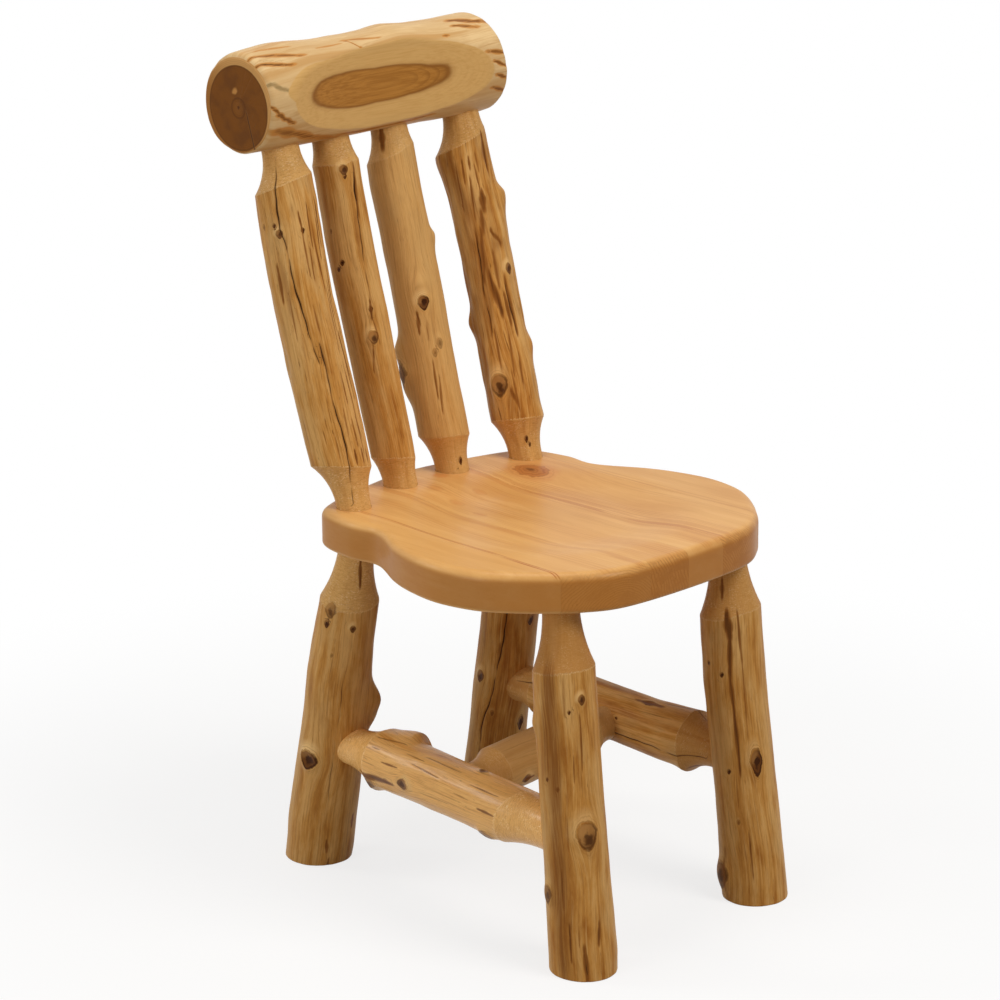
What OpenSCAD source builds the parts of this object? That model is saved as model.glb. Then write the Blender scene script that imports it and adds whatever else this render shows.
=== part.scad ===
// Log side chair: a hollowed crest rail and four spindles over a dished plank seat,
// on four splayed legs with two side stretchers and a cross stretcher.
// All logs are peeled, and their ends are turned to round tenons that sit in blind mortises.
// The chair faces -Y, +X is the sitter's left, and the floor is z = 0.

/* [Crest rail] */
// Height of the chair, from the floor to the top of the crest rail
chair_h = 964; // [900:2:1000]
// Length of the crest rail
rail_l = 369; // [360:1:420]
// Radius of the crest rail's log
rail_r = 59; // [55:0.5:64]
// Distance from the seat's rear edge back to the rail's axis
rail_behind = 59; // [37:1:75]
// Radius of the rounding at the rail's two end rims
rail_rim_r = 8; // [5:0.5:14]
// Distance from the rail's axis to the deepest line of the hollow in its front
hollow_left = 35.5; // [33:0.5:45]
// Radius of the long sweep that hollows the rail's front
hollow_sweep_r = 550; // [480:10:900]
// Lean of the hollow from upright, so that it follows the sitter's back
hollow_lean = 3; // [0:1:16]
// Distance from the rail's middle to the hollow's deepest line, to the sitter's left
hollow_x = 4; // [-10:1:10]

/* [Spindles] */
// Distance from the seat's narrower sides in to the feet of the outer spindles
outer_foot_in = 42.5; // [40:0.5:47]
// Distance between the feet of the two inner spindles
inner_foot_w = 84; // [78:1:100]
// Distance from the seat's rear edge forward to the feet of the outer spindles
outer_foot_inset = 67; // [65:1:75]
// Distance from the seat's rear edge forward to the feet of the inner spindles
inner_foot_inset = 42; // [39:1:49]
// How far behind the rail's axis the spindles are aimed
spindle_setback = 7; // [4:0.5:10]
// Radius of an average spindle's log at its middle
spindle_r = 30; // [28:0.5:33]
// Diameter of the tenon at a spindle's foot
spindle_foot_tenon_d = 39; // [34:0.5:41]
// Diameter of the tenon at a spindle's head
spindle_head_tenon_d = 43; // [38:0.5:45]
// Length of the tenon that a spindle has inside the rail
spindle_head_tenon_l = 40; // [30:1:46]
// Radius of the hollow shoulders turned on the spindles
spindle_shoulder_r = 70; // [60:1:90]

/* [Seat] */
// Height of the seat's upper face
seat_h = 455; // [430:1:480]
// Thickness of the seat at its edge
seat_t = 45; // [44:0.5:52]
// Greatest width of the seat
seat_w = 454; // [446:1:500]
// Distance from the seat's centre to its front edge
seat_front = 227; // [222:1:240]
// Distance from the seat's centre to its rear edge
seat_rear = 225; // [222:1:240]
// How far the sides of the seat's narrower rear part lie in from its widest sides
waist_in = 45; // [34:1:48]
// Distance from the seat's centre forward to its widest place
widest_front = 60; // [50:1:72]
// Distance from the seat's centre back to its waist
waist_back = 80; // [72:1:90]
// Rounding of the seat's upper edge
seat_edge_r = 8; // [4:0.5:10]
// Rounding of the seat's lower edge
seat_under_r = 5; // [2:0.5:7]
// Radius of the dish in the seat's upper face
dish_r = 165; // [150:1:170]
// Depth of the dish at its middle
dish_depth = 8; // [4:0.5:10]
// Distance from the seat's centre forward to the middle of the dish
dish_front = 12; // [6:1:30]

/* [Seat boards] */
// Width of the first board, on the sitter's right, in the seat's narrower rear part
board_1_rear_w = 21; // [16:1:30]
// Width of the second board
board_2_w = 98; // [90:1:110]
// Width of the third board
board_3_w = 59; // [50:1:70]
// Width of the fourth board; the fifth has what is left
board_4_w = 58; // [50:1:70]
// Width of the sixth board in the seat's narrower rear part
board_6_rear_w = 32; // [20:1:40]

/* [Legs] */
// Distance from the seat's widest sides in to the heads of the front legs
front_head_in = 91; // [87:0.5:96]
// Distance from the seat's front edge back to the heads of the front legs
front_head_inset = 67; // [65:1:77]
// Distance from the seat's narrower sides in to the heads of the rear legs
rear_head_in = 46; // [42:0.5:51]
// Distance from the seat's rear edge forward to the heads of the rear legs
rear_head_inset = 67; // [65:1:75]
// How far the front feet stand out sideways from their heads
front_splay_x = 8; // [2:1:19]
// How far the front feet stand forward of their heads
front_splay_y = 42; // [30:1:55]
// How far the right rear foot stands out sideways from its head; below zero is inwards
rear_right_splay_x = -20; // [-30:1:4]
// How far the right rear foot stands behind its head
rear_right_splay_y = 96; // [82:1:104]
// How far the left rear foot stands out sideways from its head
rear_left_splay_x = 11; // [-2:1:20]
// How far the left rear foot stands behind its head
rear_left_splay_y = 72; // [62:1:92]
// Radius of an average leg's log at the floor
leg_foot_r = 38.5; // [36:0.5:42]
// Radius of an average leg's log at its middle
leg_middle_r = 36.5; // [35:0.5:40]
// Radius of an average leg's log at the seat
leg_head_r = 33.5; // [31:0.5:36]
// Diameter of the tenon at a leg's head
leg_tenon_d = 41; // [36:0.5:43]
// Length of a leg's tenon inside the seat
leg_tenon_l = 16.5; // [14:0.25:17]
// Radius of the hollow shoulders turned on the legs
leg_shoulder_r = 168; // [130:2:190]

/* [Stretchers] */
// Height of the right side stretcher's axis at its rear leg
right_rear_z = 158; // [150:1:170]
// Height of the right side stretcher's axis at its front leg
right_front_z = 150; // [144:1:170]
// Height of the left side stretcher's axis at its rear leg
left_rear_z = 168; // [150:1:180]
// Height of the left side stretcher's axis at its front leg
left_front_z = 165; // [150:1:180]
// Distance from the seat's centre back to the cross stretcher
cross_back = 7; // [-10:1:20]
// Radius of the side stretchers' logs
side_r = 33; // [31:0.5:35]
// Radius of the cross stretcher's log
cross_r = 29; // [27:0.5:31]
// Diameter of the side stretchers' tenons
side_tenon_d = 45; // [38:0.5:46]
// Length of the side stretchers' tenons inside the legs
side_tenon_l = 34; // [26:0.5:36]
// Diameter of the cross stretcher's tenons
cross_tenon_d = 40; // [34:0.5:41]
// Length of the cross stretcher's tenons inside the side stretchers
cross_tenon_l = 29; // [22:0.5:31]
// Radius of the hollow shoulders turned on the stretchers
stretcher_shoulder_r = 50; // [44:1:70]

/* [Fits and screws] */
// Glue gap between a tenon and the wall of its mortise
glue_gap = 0.15; // [0.1:0.05:0.3]
// Gap beyond a tenon's end, where spare glue gathers
end_gap = 0.5; // [0.3:0.1:1]
// Gap between a shoulder and the log or seat that it stops against
shoulder_gap = 0.3; // [0.2:0.1:0.6]
// Wood left between a leg's mortise and the mortise of the spindle above it
mortise_web = 2; // [1.5:0.5:3]
// Diameter of the screws' shanks
screw_d = 4; // [3.5:0.1:5]
// Diameter of the screws' heads
screw_head_d = 8; // [7:0.1:9]
// How far a screw reaches past the axis of the tenon that it locks
screw_past = 7; // [4:0.5:10]
// Gap around a screw
screw_gap = 0.1; // [0.05:0.05:0.2]
// How deep the screws' heads are sunk
screw_sink = 1; // [0.5:0.5:2]

/* [Hidden] */

// Segments round a turned surface, and steps along a shoulder, a log and the seat's edge
round_fn = 72;
shoulder_steps = 6;
girth_steps = 10;
outline_steps = 6;

// Colours of the peeled logs, the seat's planks and the screws
log_colour = "#b98549";
plank_colour = "#d3a366";
screw_colour = "#55504a";

// The origin is under the middle of the chair's whole depth, so the seat's centre is forward of it
front_foot_y = seat_front - front_head_inset + front_splay_y;
rail_back = seat_rear + rail_behind;
seat_y = (front_foot_y + leg_foot_r - rail_back - rail_r) / 2;
seat_under = seat_h - seat_t;
half_w = seat_w / 2;
half_back = half_w - waist_in;
rail_y = seat_y + rail_back;
rail_z = chair_h - rail_r;

// Where the spindles are aimed along the rail, from the sitter's right to left
spindle_aim_x = [52.5 - rail_l / 2, -55, 38, rail_l / 2 - 30.5];
// Each spindle's log: how much stouter it is than the average at foot, middle and head
spindle_more_r = [[4, 4.5, 4], [-1.5, -2.7, -1], [1.5, 0, -0.5], [1.5, 1.5, 2.5]];
// How far each spindle's log bows off the axis that its tenons are turned on
spindle_off = [[-5.2, 5.3], [-2, 2], [-2.3, 2.3], [-0.7, 0.7]];
outer_foot_x = half_back - outer_foot_in;
outer_foot_y = seat_y + seat_rear - outer_foot_inset;
inner_foot_y = seat_y + seat_rear - inner_foot_inset;
spindle_foot = [
  [-outer_foot_x, outer_foot_y, seat_h],
  [-inner_foot_w / 2, inner_foot_y, seat_h],
  [inner_foot_w / 2, inner_foot_y, seat_h],
  [outer_foot_x, outer_foot_y, seat_h]
];
spindle_aim = [for (x = spindle_aim_x) [x, rail_y + spindle_setback, rail_z]];
spindle_foot_tenon_r = spindle_foot_tenon_d / 2;
spindle_head_tenon_r = spindle_head_tenon_d / 2;

// The legs, in the order front right, front left, rear right, rear left
front_head = [half_w - front_head_in, seat_y - seat_front + front_head_inset];
rear_head = [half_back - rear_head_in, seat_y + seat_rear - rear_head_inset];
leg_head = [
  [-front_head[0], front_head[1], seat_under],
  [front_head[0], front_head[1], seat_under],
  [-rear_head[0], rear_head[1], seat_under],
  [rear_head[0], rear_head[1], seat_under]
];
leg_splay = [
  [-front_splay_x, -front_splay_y],
  [front_splay_x, -front_splay_y],
  [-rear_right_splay_x, rear_right_splay_y],
  [rear_left_splay_x, rear_left_splay_y]
];
leg_foot = [for (i = [0:3]) leg_head[i] + [leg_splay[i][0], leg_splay[i][1], -seat_under]];
// Each leg's log: how much stouter it is than the average at foot, middle and head
leg_more_r = [[0, -0.8, 0.5], [-0.3, -0.7, 0.7], [1.3, 2.5, -0.3], [-1, -0.5, 0]];
leg_tenon_r = leg_tenon_d / 2;

// Each stretcher's log: radii at its start, middle and end
side_girth = [[side_r, side_r, side_r], [side_r - 2, side_r, side_r + 2.5]];
cross_girth = [cross_r, cross_r, cross_r];
side_tenon_r = side_tenon_d / 2;
cross_tenon_r = cross_tenon_d / 2;

function unit(v) = v / norm(v);
function mid(a, b, share) = a + (b - a) * share;
// The point of the line from a to b at height z
function at_height(a, b, z) = mid(a, b, (z - a[2]) / (b[2] - a[2]));
// The angle by which the line along u is off square to the line along v
function off_square(u, v) = asin(abs(unit(u) * unit(v)));
// A log's radius at a share of its length, from its radii at start, middle and end
function girth(g, t) = g[0] * (1 - t) * (1 - 2 * t) + g[1] * 4 * t * (1 - t) + g[2] * t * (2 * t - 1);

function leg_girth(i) = [leg_foot_r, leg_middle_r, leg_head_r] + leg_more_r[i];
function leg_line(i) = leg_head[i] - leg_foot[i];
// The axis point and the radius of leg i at height z
function leg_at(i, z) = at_height(leg_foot[i], leg_head[i], z);
function leg_r_at(i, z) = girth(leg_girth(i), z / seat_under);

// The side stretchers run from a rear leg's axis to a front leg's axis: right side, left side
side_start = [leg_at(2, right_rear_z), leg_at(3, left_rear_z)];
side_end = [leg_at(0, right_front_z), leg_at(1, left_front_z)];
side_legs = [[2, 0], [3, 1]];
side_leg_z = [[right_rear_z, right_front_z], [left_rear_z, left_front_z]];
function side_line(k) = side_end[k] - side_start[k];
// The share of side stretcher k's length at which the cross stretcher meets it
function cross_share(k) = (seat_y + cross_back - side_start[k][1]) / side_line(k)[1];
function cross_meets(k) = mid(side_start[k], side_end[k], cross_share(k));
cross_start = cross_meets(0);
cross_end = cross_meets(1);

// How far along a tenoned log its shoulder starts, from the axis of the round log that carries it
function shoulder_at(carrier_r, tenon_r, tilt) =
  carrier_r / cos(tilt) + tenon_r * tan(tilt) + shoulder_gap;

// Stands children, built along +Z from z = 0, on the line from a towards b
module along(a, b) {
  v = b - a;
  translate(a) rotate(a = acos(v[2] / norm(v)), v = [-v[1], v[0], 0]) children();
}

// A knot or swelling on a log of radius r: a round cap that stands high proud at z = s
module knot(s, angle, r, high) {
  cap_r = 0.9 * r;
  rotate([0, 0, angle]) translate([r + high - cap_r, 0, s]) sphere(r = cap_r, $fn = round_fn);
}

// The bare log, from z = from to z = to, with its girth laid over z = 0 to z = len
module bare_log(g, len, from, to) {
  edge = [for (k = [0:girth_steps]) let (s = from + (to - from) * k / girth_steps) [girth(g, s / len), s]];
  rotate_extrude($fn = round_fn) polygon(concat([[0, from]], edge, [[0, to]]));
}

// Points of a hollow shoulder that opens from a tenon's radius, started at z = s towards way
function shoulder(s, way, tenon_r, sweep_r, wide_r) = [
  for (k = [0:shoulder_steps])
    let (a = acos(1 - (wide_r - tenon_r) / sweep_r) * k / shoulder_steps)
      [tenon_r + sweep_r * (1 - cos(a)), s + way * sweep_r * sin(a)]
];
function backwards(list) = [for (k = [len(list) - 1:-1:0]) list[k]];

// What the turning tools leave standing: a tenon and a shoulder at each end
module turned(tip_a, start_a, r_a, tip_b, start_b, r_b, sweep_r, wide_r) {
  rotate_extrude($fn = round_fn) polygon(concat(
    [[0, tip_a], [r_a, tip_a]],
    shoulder(start_a, 1, r_a, sweep_r, wide_r),
    backwards(shoulder(start_b, -1, r_b, sweep_r, wide_r)),
    [[r_b, tip_b], [0, tip_b]]
  ));
}

// A blind mortise for a tenon whose tip is at z = tip; it opens at z = mouth
module mortise(tenon_r, tip, mouth) {
  floor_z = mouth > tip ? tip - end_gap : tip + end_gap;
  translate([0, 0, min(floor_z, mouth)])
    cylinder(r = tenon_r + glue_gap, h = abs(mouth - floor_z), $fn = round_fn);
}

// A countersunk screw along +Z, with its tip at z = 0 and a square socket in its head
module screw(l) {
  head_h = (screw_head_d - screw_d) / 2;
  socket = screw_d * 0.55;
  difference() {
    rotate_extrude($fn = 32) polygon([
      [0, 0], [screw_d / 2, screw_d], [screw_d / 2, l - head_h], [screw_head_d / 2, l], [0, l]
    ]);
    translate([-socket / 2, -socket / 2, l - head_h * 0.8]) cube([socket, socket, head_h]);
  }
}

// The drilling for a screw, open as far as out past its head
module screw_hole(l, out) {
  translate([0, 0, -screw_gap]) cylinder(d = screw_d + 2 * screw_gap, h = l + screw_gap, $fn = 32);
  head_h = (screw_head_d - screw_d) / 2 + screw_gap;
  translate([0, 0, l - head_h]) cylinder(d = screw_head_d + 2 * screw_gap, h = head_h + out, $fn = 32);
}

// Rail screws: level, from the rail's back, each through a spindle's head tenon
function rail_lock(i) =
  spindle_aim[i] - unit(spindle_aim[i] - spindle_foot[i]) * (rail_r - spindle_head_tenon_l / 2);
function rail_screw_l(i) =
  rail_y + half_chord(rail_r, rail_z - rail_lock(i)[2]) - rail_lock(i)[1] - screw_sink + screw_past;
// Half the chord of a circle of radius r, at a distance off from its centre
function half_chord(r, off) = sqrt(r * r - off * off);
module at_rail_lock(i) {
  translate(rail_lock(i) - [0, screw_past, 0]) rotate([-90, 0, 0]) children();
}

// Stretcher screws in the legs: level, from the inner side of each leg, through the stretcher's tenon
function side_lock(k, e) =
  (e == 0 ? side_start[k] : side_end[k])
  + unit(side_line(k)) * (e == 0 ? 1 : -1) * (side_leg_r(k, e) - side_tenon_l / 2);
function side_leg_r(k, e) = leg_r_at(side_legs[k][e], side_leg_z[k][e]);
function side_screw_l(k, e) =
  half_chord(side_leg_r(k, e), side_leg_r(k, e) - side_tenon_l / 2) - screw_sink + screw_past;
module at_side_lock(k, e) {
  inward = k == 0 ? 1 : -1;
  translate(side_lock(k, e) - [inward * screw_past, 0, 0]) rotate([0, inward * 90, 0]) children();
}

// Stretcher screws under the cross stretcher's ends: upright, through its tenons
function side_r_at_cross(k) = girth(side_girth[k], cross_share(k));
function cross_lock(k) =
  (k == 0 ? cross_start : cross_end)
  + unit(cross_end - cross_start) * (k == 0 ? 1 : -1) * (side_r_at_cross(k) - cross_tenon_l / 2);
function cross_screw_l(k) =
  half_chord(side_r_at_cross(k), side_r_at_cross(k) - cross_tenon_l / 2) - screw_sink + screw_past;
module at_cross_lock(k) {
  translate(cross_lock(k) + [0, 0, screw_past]) rotate([180, 0, 0]) children();
}

// Crest rail: a stout log with eased end rims, a hollowed front and four blind mortises below
module crest_rail() {
  rim = [for (a = [0:15:90]) [rail_r - rail_rim_r + rail_rim_r * sin(a), rail_rim_r * (1 - cos(a))]];
  far_rim = [for (p = backwards(rim)) [p[0], rail_l - p[1]]];
  start = [-rail_l / 2, rail_y, rail_z];
  color(log_colour) difference() {
    along(start, start + [rail_l, 0, 0]) {
      rotate_extrude($fn = round_fn) polygon(concat([[0, 0]], rim, far_rim, [[0, rail_l]]));
      knot(62, 184, rail_r, 4);
      knot(219, 178, rail_r, 4.5);
    }
    translate([hollow_x, rail_y, rail_z]) rotate([-hollow_lean, 0, 0])
      translate([0, -hollow_left - hollow_sweep_r, -2 * rail_r])
        cylinder(r = hollow_sweep_r, h = 4 * rail_r, $fn = 180);
    for (i = [0:3]) {
      along(spindle_aim[i], spindle_foot[i])
        mortise(spindle_head_tenon_r, rail_r - spindle_head_tenon_l, 2 * rail_r);
      at_rail_lock(i) screw_hole(rail_screw_l(i), rail_r);
    }
  }
}

// How deep a spindle's foot tenon can go: what the leg's mortise and the web leave of the seat
function tilt_of(a, b) = acos((b - a)[2] / norm(b - a));
function spindle_foot_tenon_l() =
  let (
    leg_tilt = tilt_of(leg_foot[2], leg_head[2]),
    tilt = tilt_of(spindle_foot[0], spindle_aim[0]),
    leg_top = (leg_tenon_l + end_gap) * cos(leg_tilt) + (leg_tenon_r + glue_gap) * sin(leg_tilt),
    own_corner = (spindle_foot_tenon_r + glue_gap) * sin(tilt)
  )
    (seat_t - leg_top - mortise_web - own_corner) / cos(tilt) - end_gap;

// A spindle: a slim log turned to a tenon and a hollow shoulder at each end
module spindle(i) {
  tilt = tilt_of(spindle_foot[i], spindle_aim[i]);
  l = norm(spindle_aim[i] - spindle_foot[i]);
  g = [spindle_r, spindle_r, spindle_r] + spindle_more_r[i];
  foot_tip = -spindle_foot_tenon_l();
  head_tip = l - rail_r + spindle_head_tenon_l;
  foot_start = spindle_foot_tenon_r * tan(tilt) + shoulder_gap;
  difference() {
    along(spindle_foot[i], spindle_aim[i]) intersection() {
      union() {
        translate([spindle_off[i][0], spindle_off[i][1], 0]) bare_log(g, l, foot_tip - 1, head_tip + 1);
        children();
      }
      turned(foot_tip, foot_start, spindle_foot_tenon_r,
        head_tip, l - rail_r - shoulder_gap, spindle_head_tenon_r, spindle_shoulder_r, 2 * spindle_r);
    }
    at_rail_lock(i) screw_hole(rail_screw_l(i), rail_r);
  }
}
module spindle_right_outer() {
  color(log_colour) spindle(0) knot(180, 134, spindle_r + 11, 1.5);
}
module spindle_right_inner() {
  color(log_colour) spindle(1) {
    knot(200, -120, spindle_r - 3, 2);
    knot(330, -110, spindle_r - 3, 2);
  }
}
module spindle_left_inner() {
  color(log_colour) spindle(2) {
    knot(80, 134, spindle_r + 2, 4);
    knot(140, 134, spindle_r + 2, 4);
    knot(262, -46, spindle_r - 3, 4);
    knot(174, -125, spindle_r - 1, 3);
  }
}
module spindle_left_outer() {
  color(log_colour) spindle(3) {
    knot(154, 134, spindle_r + 1, 4.5);
    knot(120, -46, spindle_r + 1, 3);
    knot(302, -46, spindle_r + 1, 4.5);
    knot(346, 134, spindle_r + 2, 6);
  }
}

// The right-hand half of the seat's outline, seen from above, from its front to its rear
half_outline = [
  [0, -seat_front], [half_w - 131, -seat_front + 6], [half_w - 84, -seat_front + 28],
  [half_w - 51, -seat_front + 58], [half_w - 24, -seat_front + 91], [half_w - 8, -seat_front + 122],
  [half_w, -widest_front], [half_w - 6, -widest_front + 44],
  [half_back + 26, waist_back - 56], [half_back - 2.5, waist_back], [half_back, waist_back + 44],
  [half_back - 11, seat_rear - 50], [half_back - 36, seat_rear - 30], [half_back - 100, seat_rear - 12],
  [0, seat_rear]
];
turns = len(half_outline);
other_half = [for (k = [turns - 2:-1:1]) [-half_outline[k][0], half_outline[k][1]]];
outline_points = concat(half_outline, other_half);
corners = len(outline_points);
function corner(k) = outline_points[(k + corners) % corners];
// A smooth curve through the corners, at share t of the way from corner k to the next
function smooth(k, t) =
  0.5 * (2 * corner(k) + (corner(k + 1) - corner(k - 1)) * t
    + (2 * corner(k - 1) - 5 * corner(k) + 4 * corner(k + 1) - corner(k + 2)) * t * t
    + (3 * corner(k) - corner(k - 1) - 3 * corner(k + 1) + corner(k + 2)) * t * t * t);
outline = [for (k = [0:corners - 1]) for (j = [0:outline_steps - 1]) smooth(k, j / outline_steps)];
sides = len(outline);
function outward(k) =
  let (d = unit(outline[(k + 1) % sides] - outline[(k + sides - 1) % sides])) [d[1], -d[0]];
// The seat's rounded edge, from its lower to its upper face: how far in, and at what height
edge = concat(
  [for (a = [0:45:90]) [seat_under_r * (1 - sin(a)), seat_under + seat_under_r * (1 - cos(a))]],
  [for (a = [0:22.5:90]) [seat_edge_r * (1 - cos(a)), seat_h - seat_edge_r * (1 - sin(a))]]
);
levels = len(edge);

// The whole seat as one slab with rounded edges and a dish, before it is parted into its boards
module seat_slab() {
  points = [
    for (e = edge) for (k = [0:sides - 1])
      let (p = outline[k] - outward(k) * e[0]) [p[0], seat_y + p[1], e[1]]
  ];
  walls = [
    for (v = [0:levels - 2]) for (k = [0:sides - 1])
      let (n = (k + 1) % sides) each [
        [v * sides + k, (v + 1) * sides + n, v * sides + n],
        [v * sides + k, (v + 1) * sides + k, (v + 1) * sides + n]
      ]
  ];
  under = [for (k = [0:sides - 1]) k];
  upper = [for (k = [sides - 1:-1:0]) (levels - 1) * sides + k];
  dish_sweep_r = (dish_r * dish_r + dish_depth * dish_depth) / (2 * dish_depth);
  difference() {
    polyhedron(points = points, faces = concat(walls, [under, upper]));
    translate([0, seat_y - dish_front, seat_h - dish_depth + dish_sweep_r])
      sphere(r = dish_sweep_r, $fn = 400);
  }
}

// Where the boards meet, with the seat's two sides at the ends
seam_1 = board_1_rear_w - half_back;
seam_2 = seam_1 + board_2_w;
seam_3 = seam_2 + board_3_w;
seam_4 = seam_3 + board_4_w;
seam_5 = half_back - board_6_rear_w;
seams = [-half_w, seam_1, seam_2, seam_3, seam_4, seam_5, half_w];

// One plank of the seat, glued edge to edge with the next, with its share of the mortises
module seat_board(k) {
  from_x = seams[k] - (k == 0 ? 1 : 0);
  to_x = seams[k + 1] + (k == 5 ? 1 : 0);
  color(plank_colour) difference() {
    intersection() {
      seat_slab();
      translate([from_x, seat_y - seat_w, seat_under - 1]) cube([to_x - from_x, 2 * seat_w, seat_t + 2]);
    }
    for (i = [0:3]) {
      if (in_board(k, spindle_foot[i][0], spindle_foot_tenon_r))
        along(spindle_foot[i], spindle_aim[i])
          mortise(spindle_foot_tenon_r, -spindle_foot_tenon_l(), seat_t);
      if (in_board(k, leg_head[i][0], leg_tenon_r))
        along(leg_head[i], leg_foot[i]) mortise(leg_tenon_r, -leg_tenon_l, seat_t);
    }
  }
}
// Whether a mortise of radius r at x, with some room for its slant, reaches into board k
function in_board(k, x, r) = x + r + 6 > seams[k] && x - r - 6 < seams[k + 1];
module seat_board_1() { seat_board(0); }
module seat_board_2() { seat_board(1); }
module seat_board_3() { seat_board(2); }
module seat_board_4() { seat_board(3); }
module seat_board_5() { seat_board(4); }
module seat_board_6() { seat_board(5); }

// A leg: a stout log sawn level at the floor, turned to a shoulder and a tenon at the seat
module leg(i) {
  l = norm(leg_line(i));
  tilt = tilt_of(leg_foot[i], leg_head[i]);
  head_start = l - leg_tenon_r * tan(tilt) - shoulder_gap;
  foot_spare = 20;
  wide_r = 2 * leg_foot_r;
  k = i % 2;
  e = i < 2 ? 1 : 0;
  difference() {
    along(leg_foot[i], leg_head[i]) intersection() {
      union() {
        bare_log(leg_girth(i), l, -foot_spare, l + leg_tenon_l + 1);
        children();
      }
      rotate_extrude($fn = round_fn) polygon(concat(
        [[0, -foot_spare], [wide_r, -foot_spare]],
        backwards(shoulder(head_start, -1, leg_tenon_r, leg_shoulder_r, wide_r)),
        [[leg_tenon_r, l + leg_tenon_l], [0, l + leg_tenon_l]]
      ));
    }
    translate([-seat_w, -seat_w, -2 * foot_spare]) cube([2 * seat_w, 2 * seat_w, 2 * foot_spare]);
    along(e == 0 ? side_start[k] : side_end[k], e == 0 ? side_end[k] : side_start[k])
      mortise(side_tenon_r, side_leg_r(k, e) - side_tenon_l, 2 * leg_foot_r);
    at_side_lock(k, e) screw_hole(side_screw_l(k, e), leg_foot_r);
  }
}
module leg_front_right() {
  color(log_colour) leg(0) {
    knot(80, 134, leg_foot_r - 1, 2);
    knot(284, 134, leg_head_r + 1, 4);
  }
}
module leg_front_left() {
  color(log_colour) leg(1) {
    knot(32, 134, leg_foot_r - 1, 4.5);
    knot(280, 134, leg_head_r + 2, 3);
  }
}
module leg_rear_right() {
  color(log_colour) leg(2) {
    knot(219, -46, leg_middle_r + 1, 13);
    knot(110, 205, leg_middle_r + 3, 2.5);
  }
}
module leg_rear_left() {
  color(log_colour) leg(3) knot(90, 134, leg_middle_r - 1, 2.5);
}

// A side stretcher: a log tenoned into a rear and a front leg, mortised for the cross stretcher
module side_stretcher(k) {
  l = norm(side_line(k));
  rear_r = side_leg_r(k, 0);
  front_r = side_leg_r(k, 1);
  rear_tilt = off_square(side_line(k), leg_line(side_legs[k][0]));
  front_tilt = off_square(side_line(k), leg_line(side_legs[k][1]));
  difference() {
    along(side_start[k], side_end[k]) intersection() {
      union() {
        bare_log(side_girth[k], l, 0, l);
        children();
      }
      turned(rear_r - side_tenon_l, shoulder_at(rear_r, side_tenon_r, rear_tilt), side_tenon_r,
        l - front_r + side_tenon_l, l - shoulder_at(front_r, side_tenon_r, front_tilt), side_tenon_r,
        stretcher_shoulder_r, 1.8 * side_r);
    }
    for (e = [0:1]) at_side_lock(k, e) screw_hole(side_screw_l(k, e), leg_foot_r);
    along(k == 0 ? cross_start : cross_end, k == 0 ? cross_end : cross_start)
      mortise(cross_tenon_r, side_r_at_cross(k) - cross_tenon_l, 2 * side_r);
    at_cross_lock(k) screw_hole(cross_screw_l(k), side_r);
  }
}
module side_stretcher_right() {
  color(log_colour) side_stretcher(0) {
    knot(134, 110, side_r, 10);
    knot(292, -80, side_r, 6);
    knot(82, -80, side_r, 5);
  }
}
module side_stretcher_left() {
  color(log_colour) side_stretcher(1) {
    knot(142, 90, side_r, 2.5);
    knot(318, -90, side_r + 1.5, 2);
  }
}

// Cross stretcher: a slimmer log tenoned into the two side stretchers
module cross_stretcher() {
  line = cross_end - cross_start;
  l = norm(line);
  near_r = side_r_at_cross(0);
  far_r = side_r_at_cross(1);
  near_tilt = off_square(line, side_line(0));
  far_tilt = off_square(line, side_line(1));
  color(log_colour) difference() {
    along(cross_start, cross_end) intersection() {
      bare_log(cross_girth, l, 0, l);
      turned(near_r - cross_tenon_l, shoulder_at(near_r, cross_tenon_r, near_tilt), cross_tenon_r,
        l - far_r + cross_tenon_l, l - shoulder_at(far_r, cross_tenon_r, far_tilt), cross_tenon_r,
        stretcher_shoulder_r, 1.8 * cross_r);
    }
    for (k = [0:1]) at_cross_lock(k) screw_hole(cross_screw_l(k), side_r);
  }
}

// Screws that lock the spindles in the rail, one solid each
module rail_screws() {
  color(screw_colour) for (i = [0:3]) at_rail_lock(i) screw(rail_screw_l(i));
}

// Screws that lock the stretchers' tenons, one solid each
module stretcher_screws() {
  color(screw_colour) {
    for (k = [0:1]) for (e = [0:1]) at_side_lock(k, e) screw(side_screw_l(k, e));
    for (k = [0:1]) at_cross_lock(k) screw(cross_screw_l(k));
  }
}

crest_rail();
spindle_right_outer();
spindle_right_inner();
spindle_left_inner();
spindle_left_outer();
seat_board_1();
seat_board_2();
seat_board_3();
seat_board_4();
seat_board_5();
seat_board_6();
leg_front_right();
leg_front_left();
leg_rear_right();
leg_rear_left();
side_stretcher_right();
side_stretcher_left();
cross_stretcher();
rail_screws();
stretcher_screws();
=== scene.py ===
"""Log side chair: peeled logs, a hollowed crest rail and an edge-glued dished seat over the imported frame."""
import math

import bmesh
import bpy
import numpy as np
from mathutils import Matrix, Vector


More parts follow.
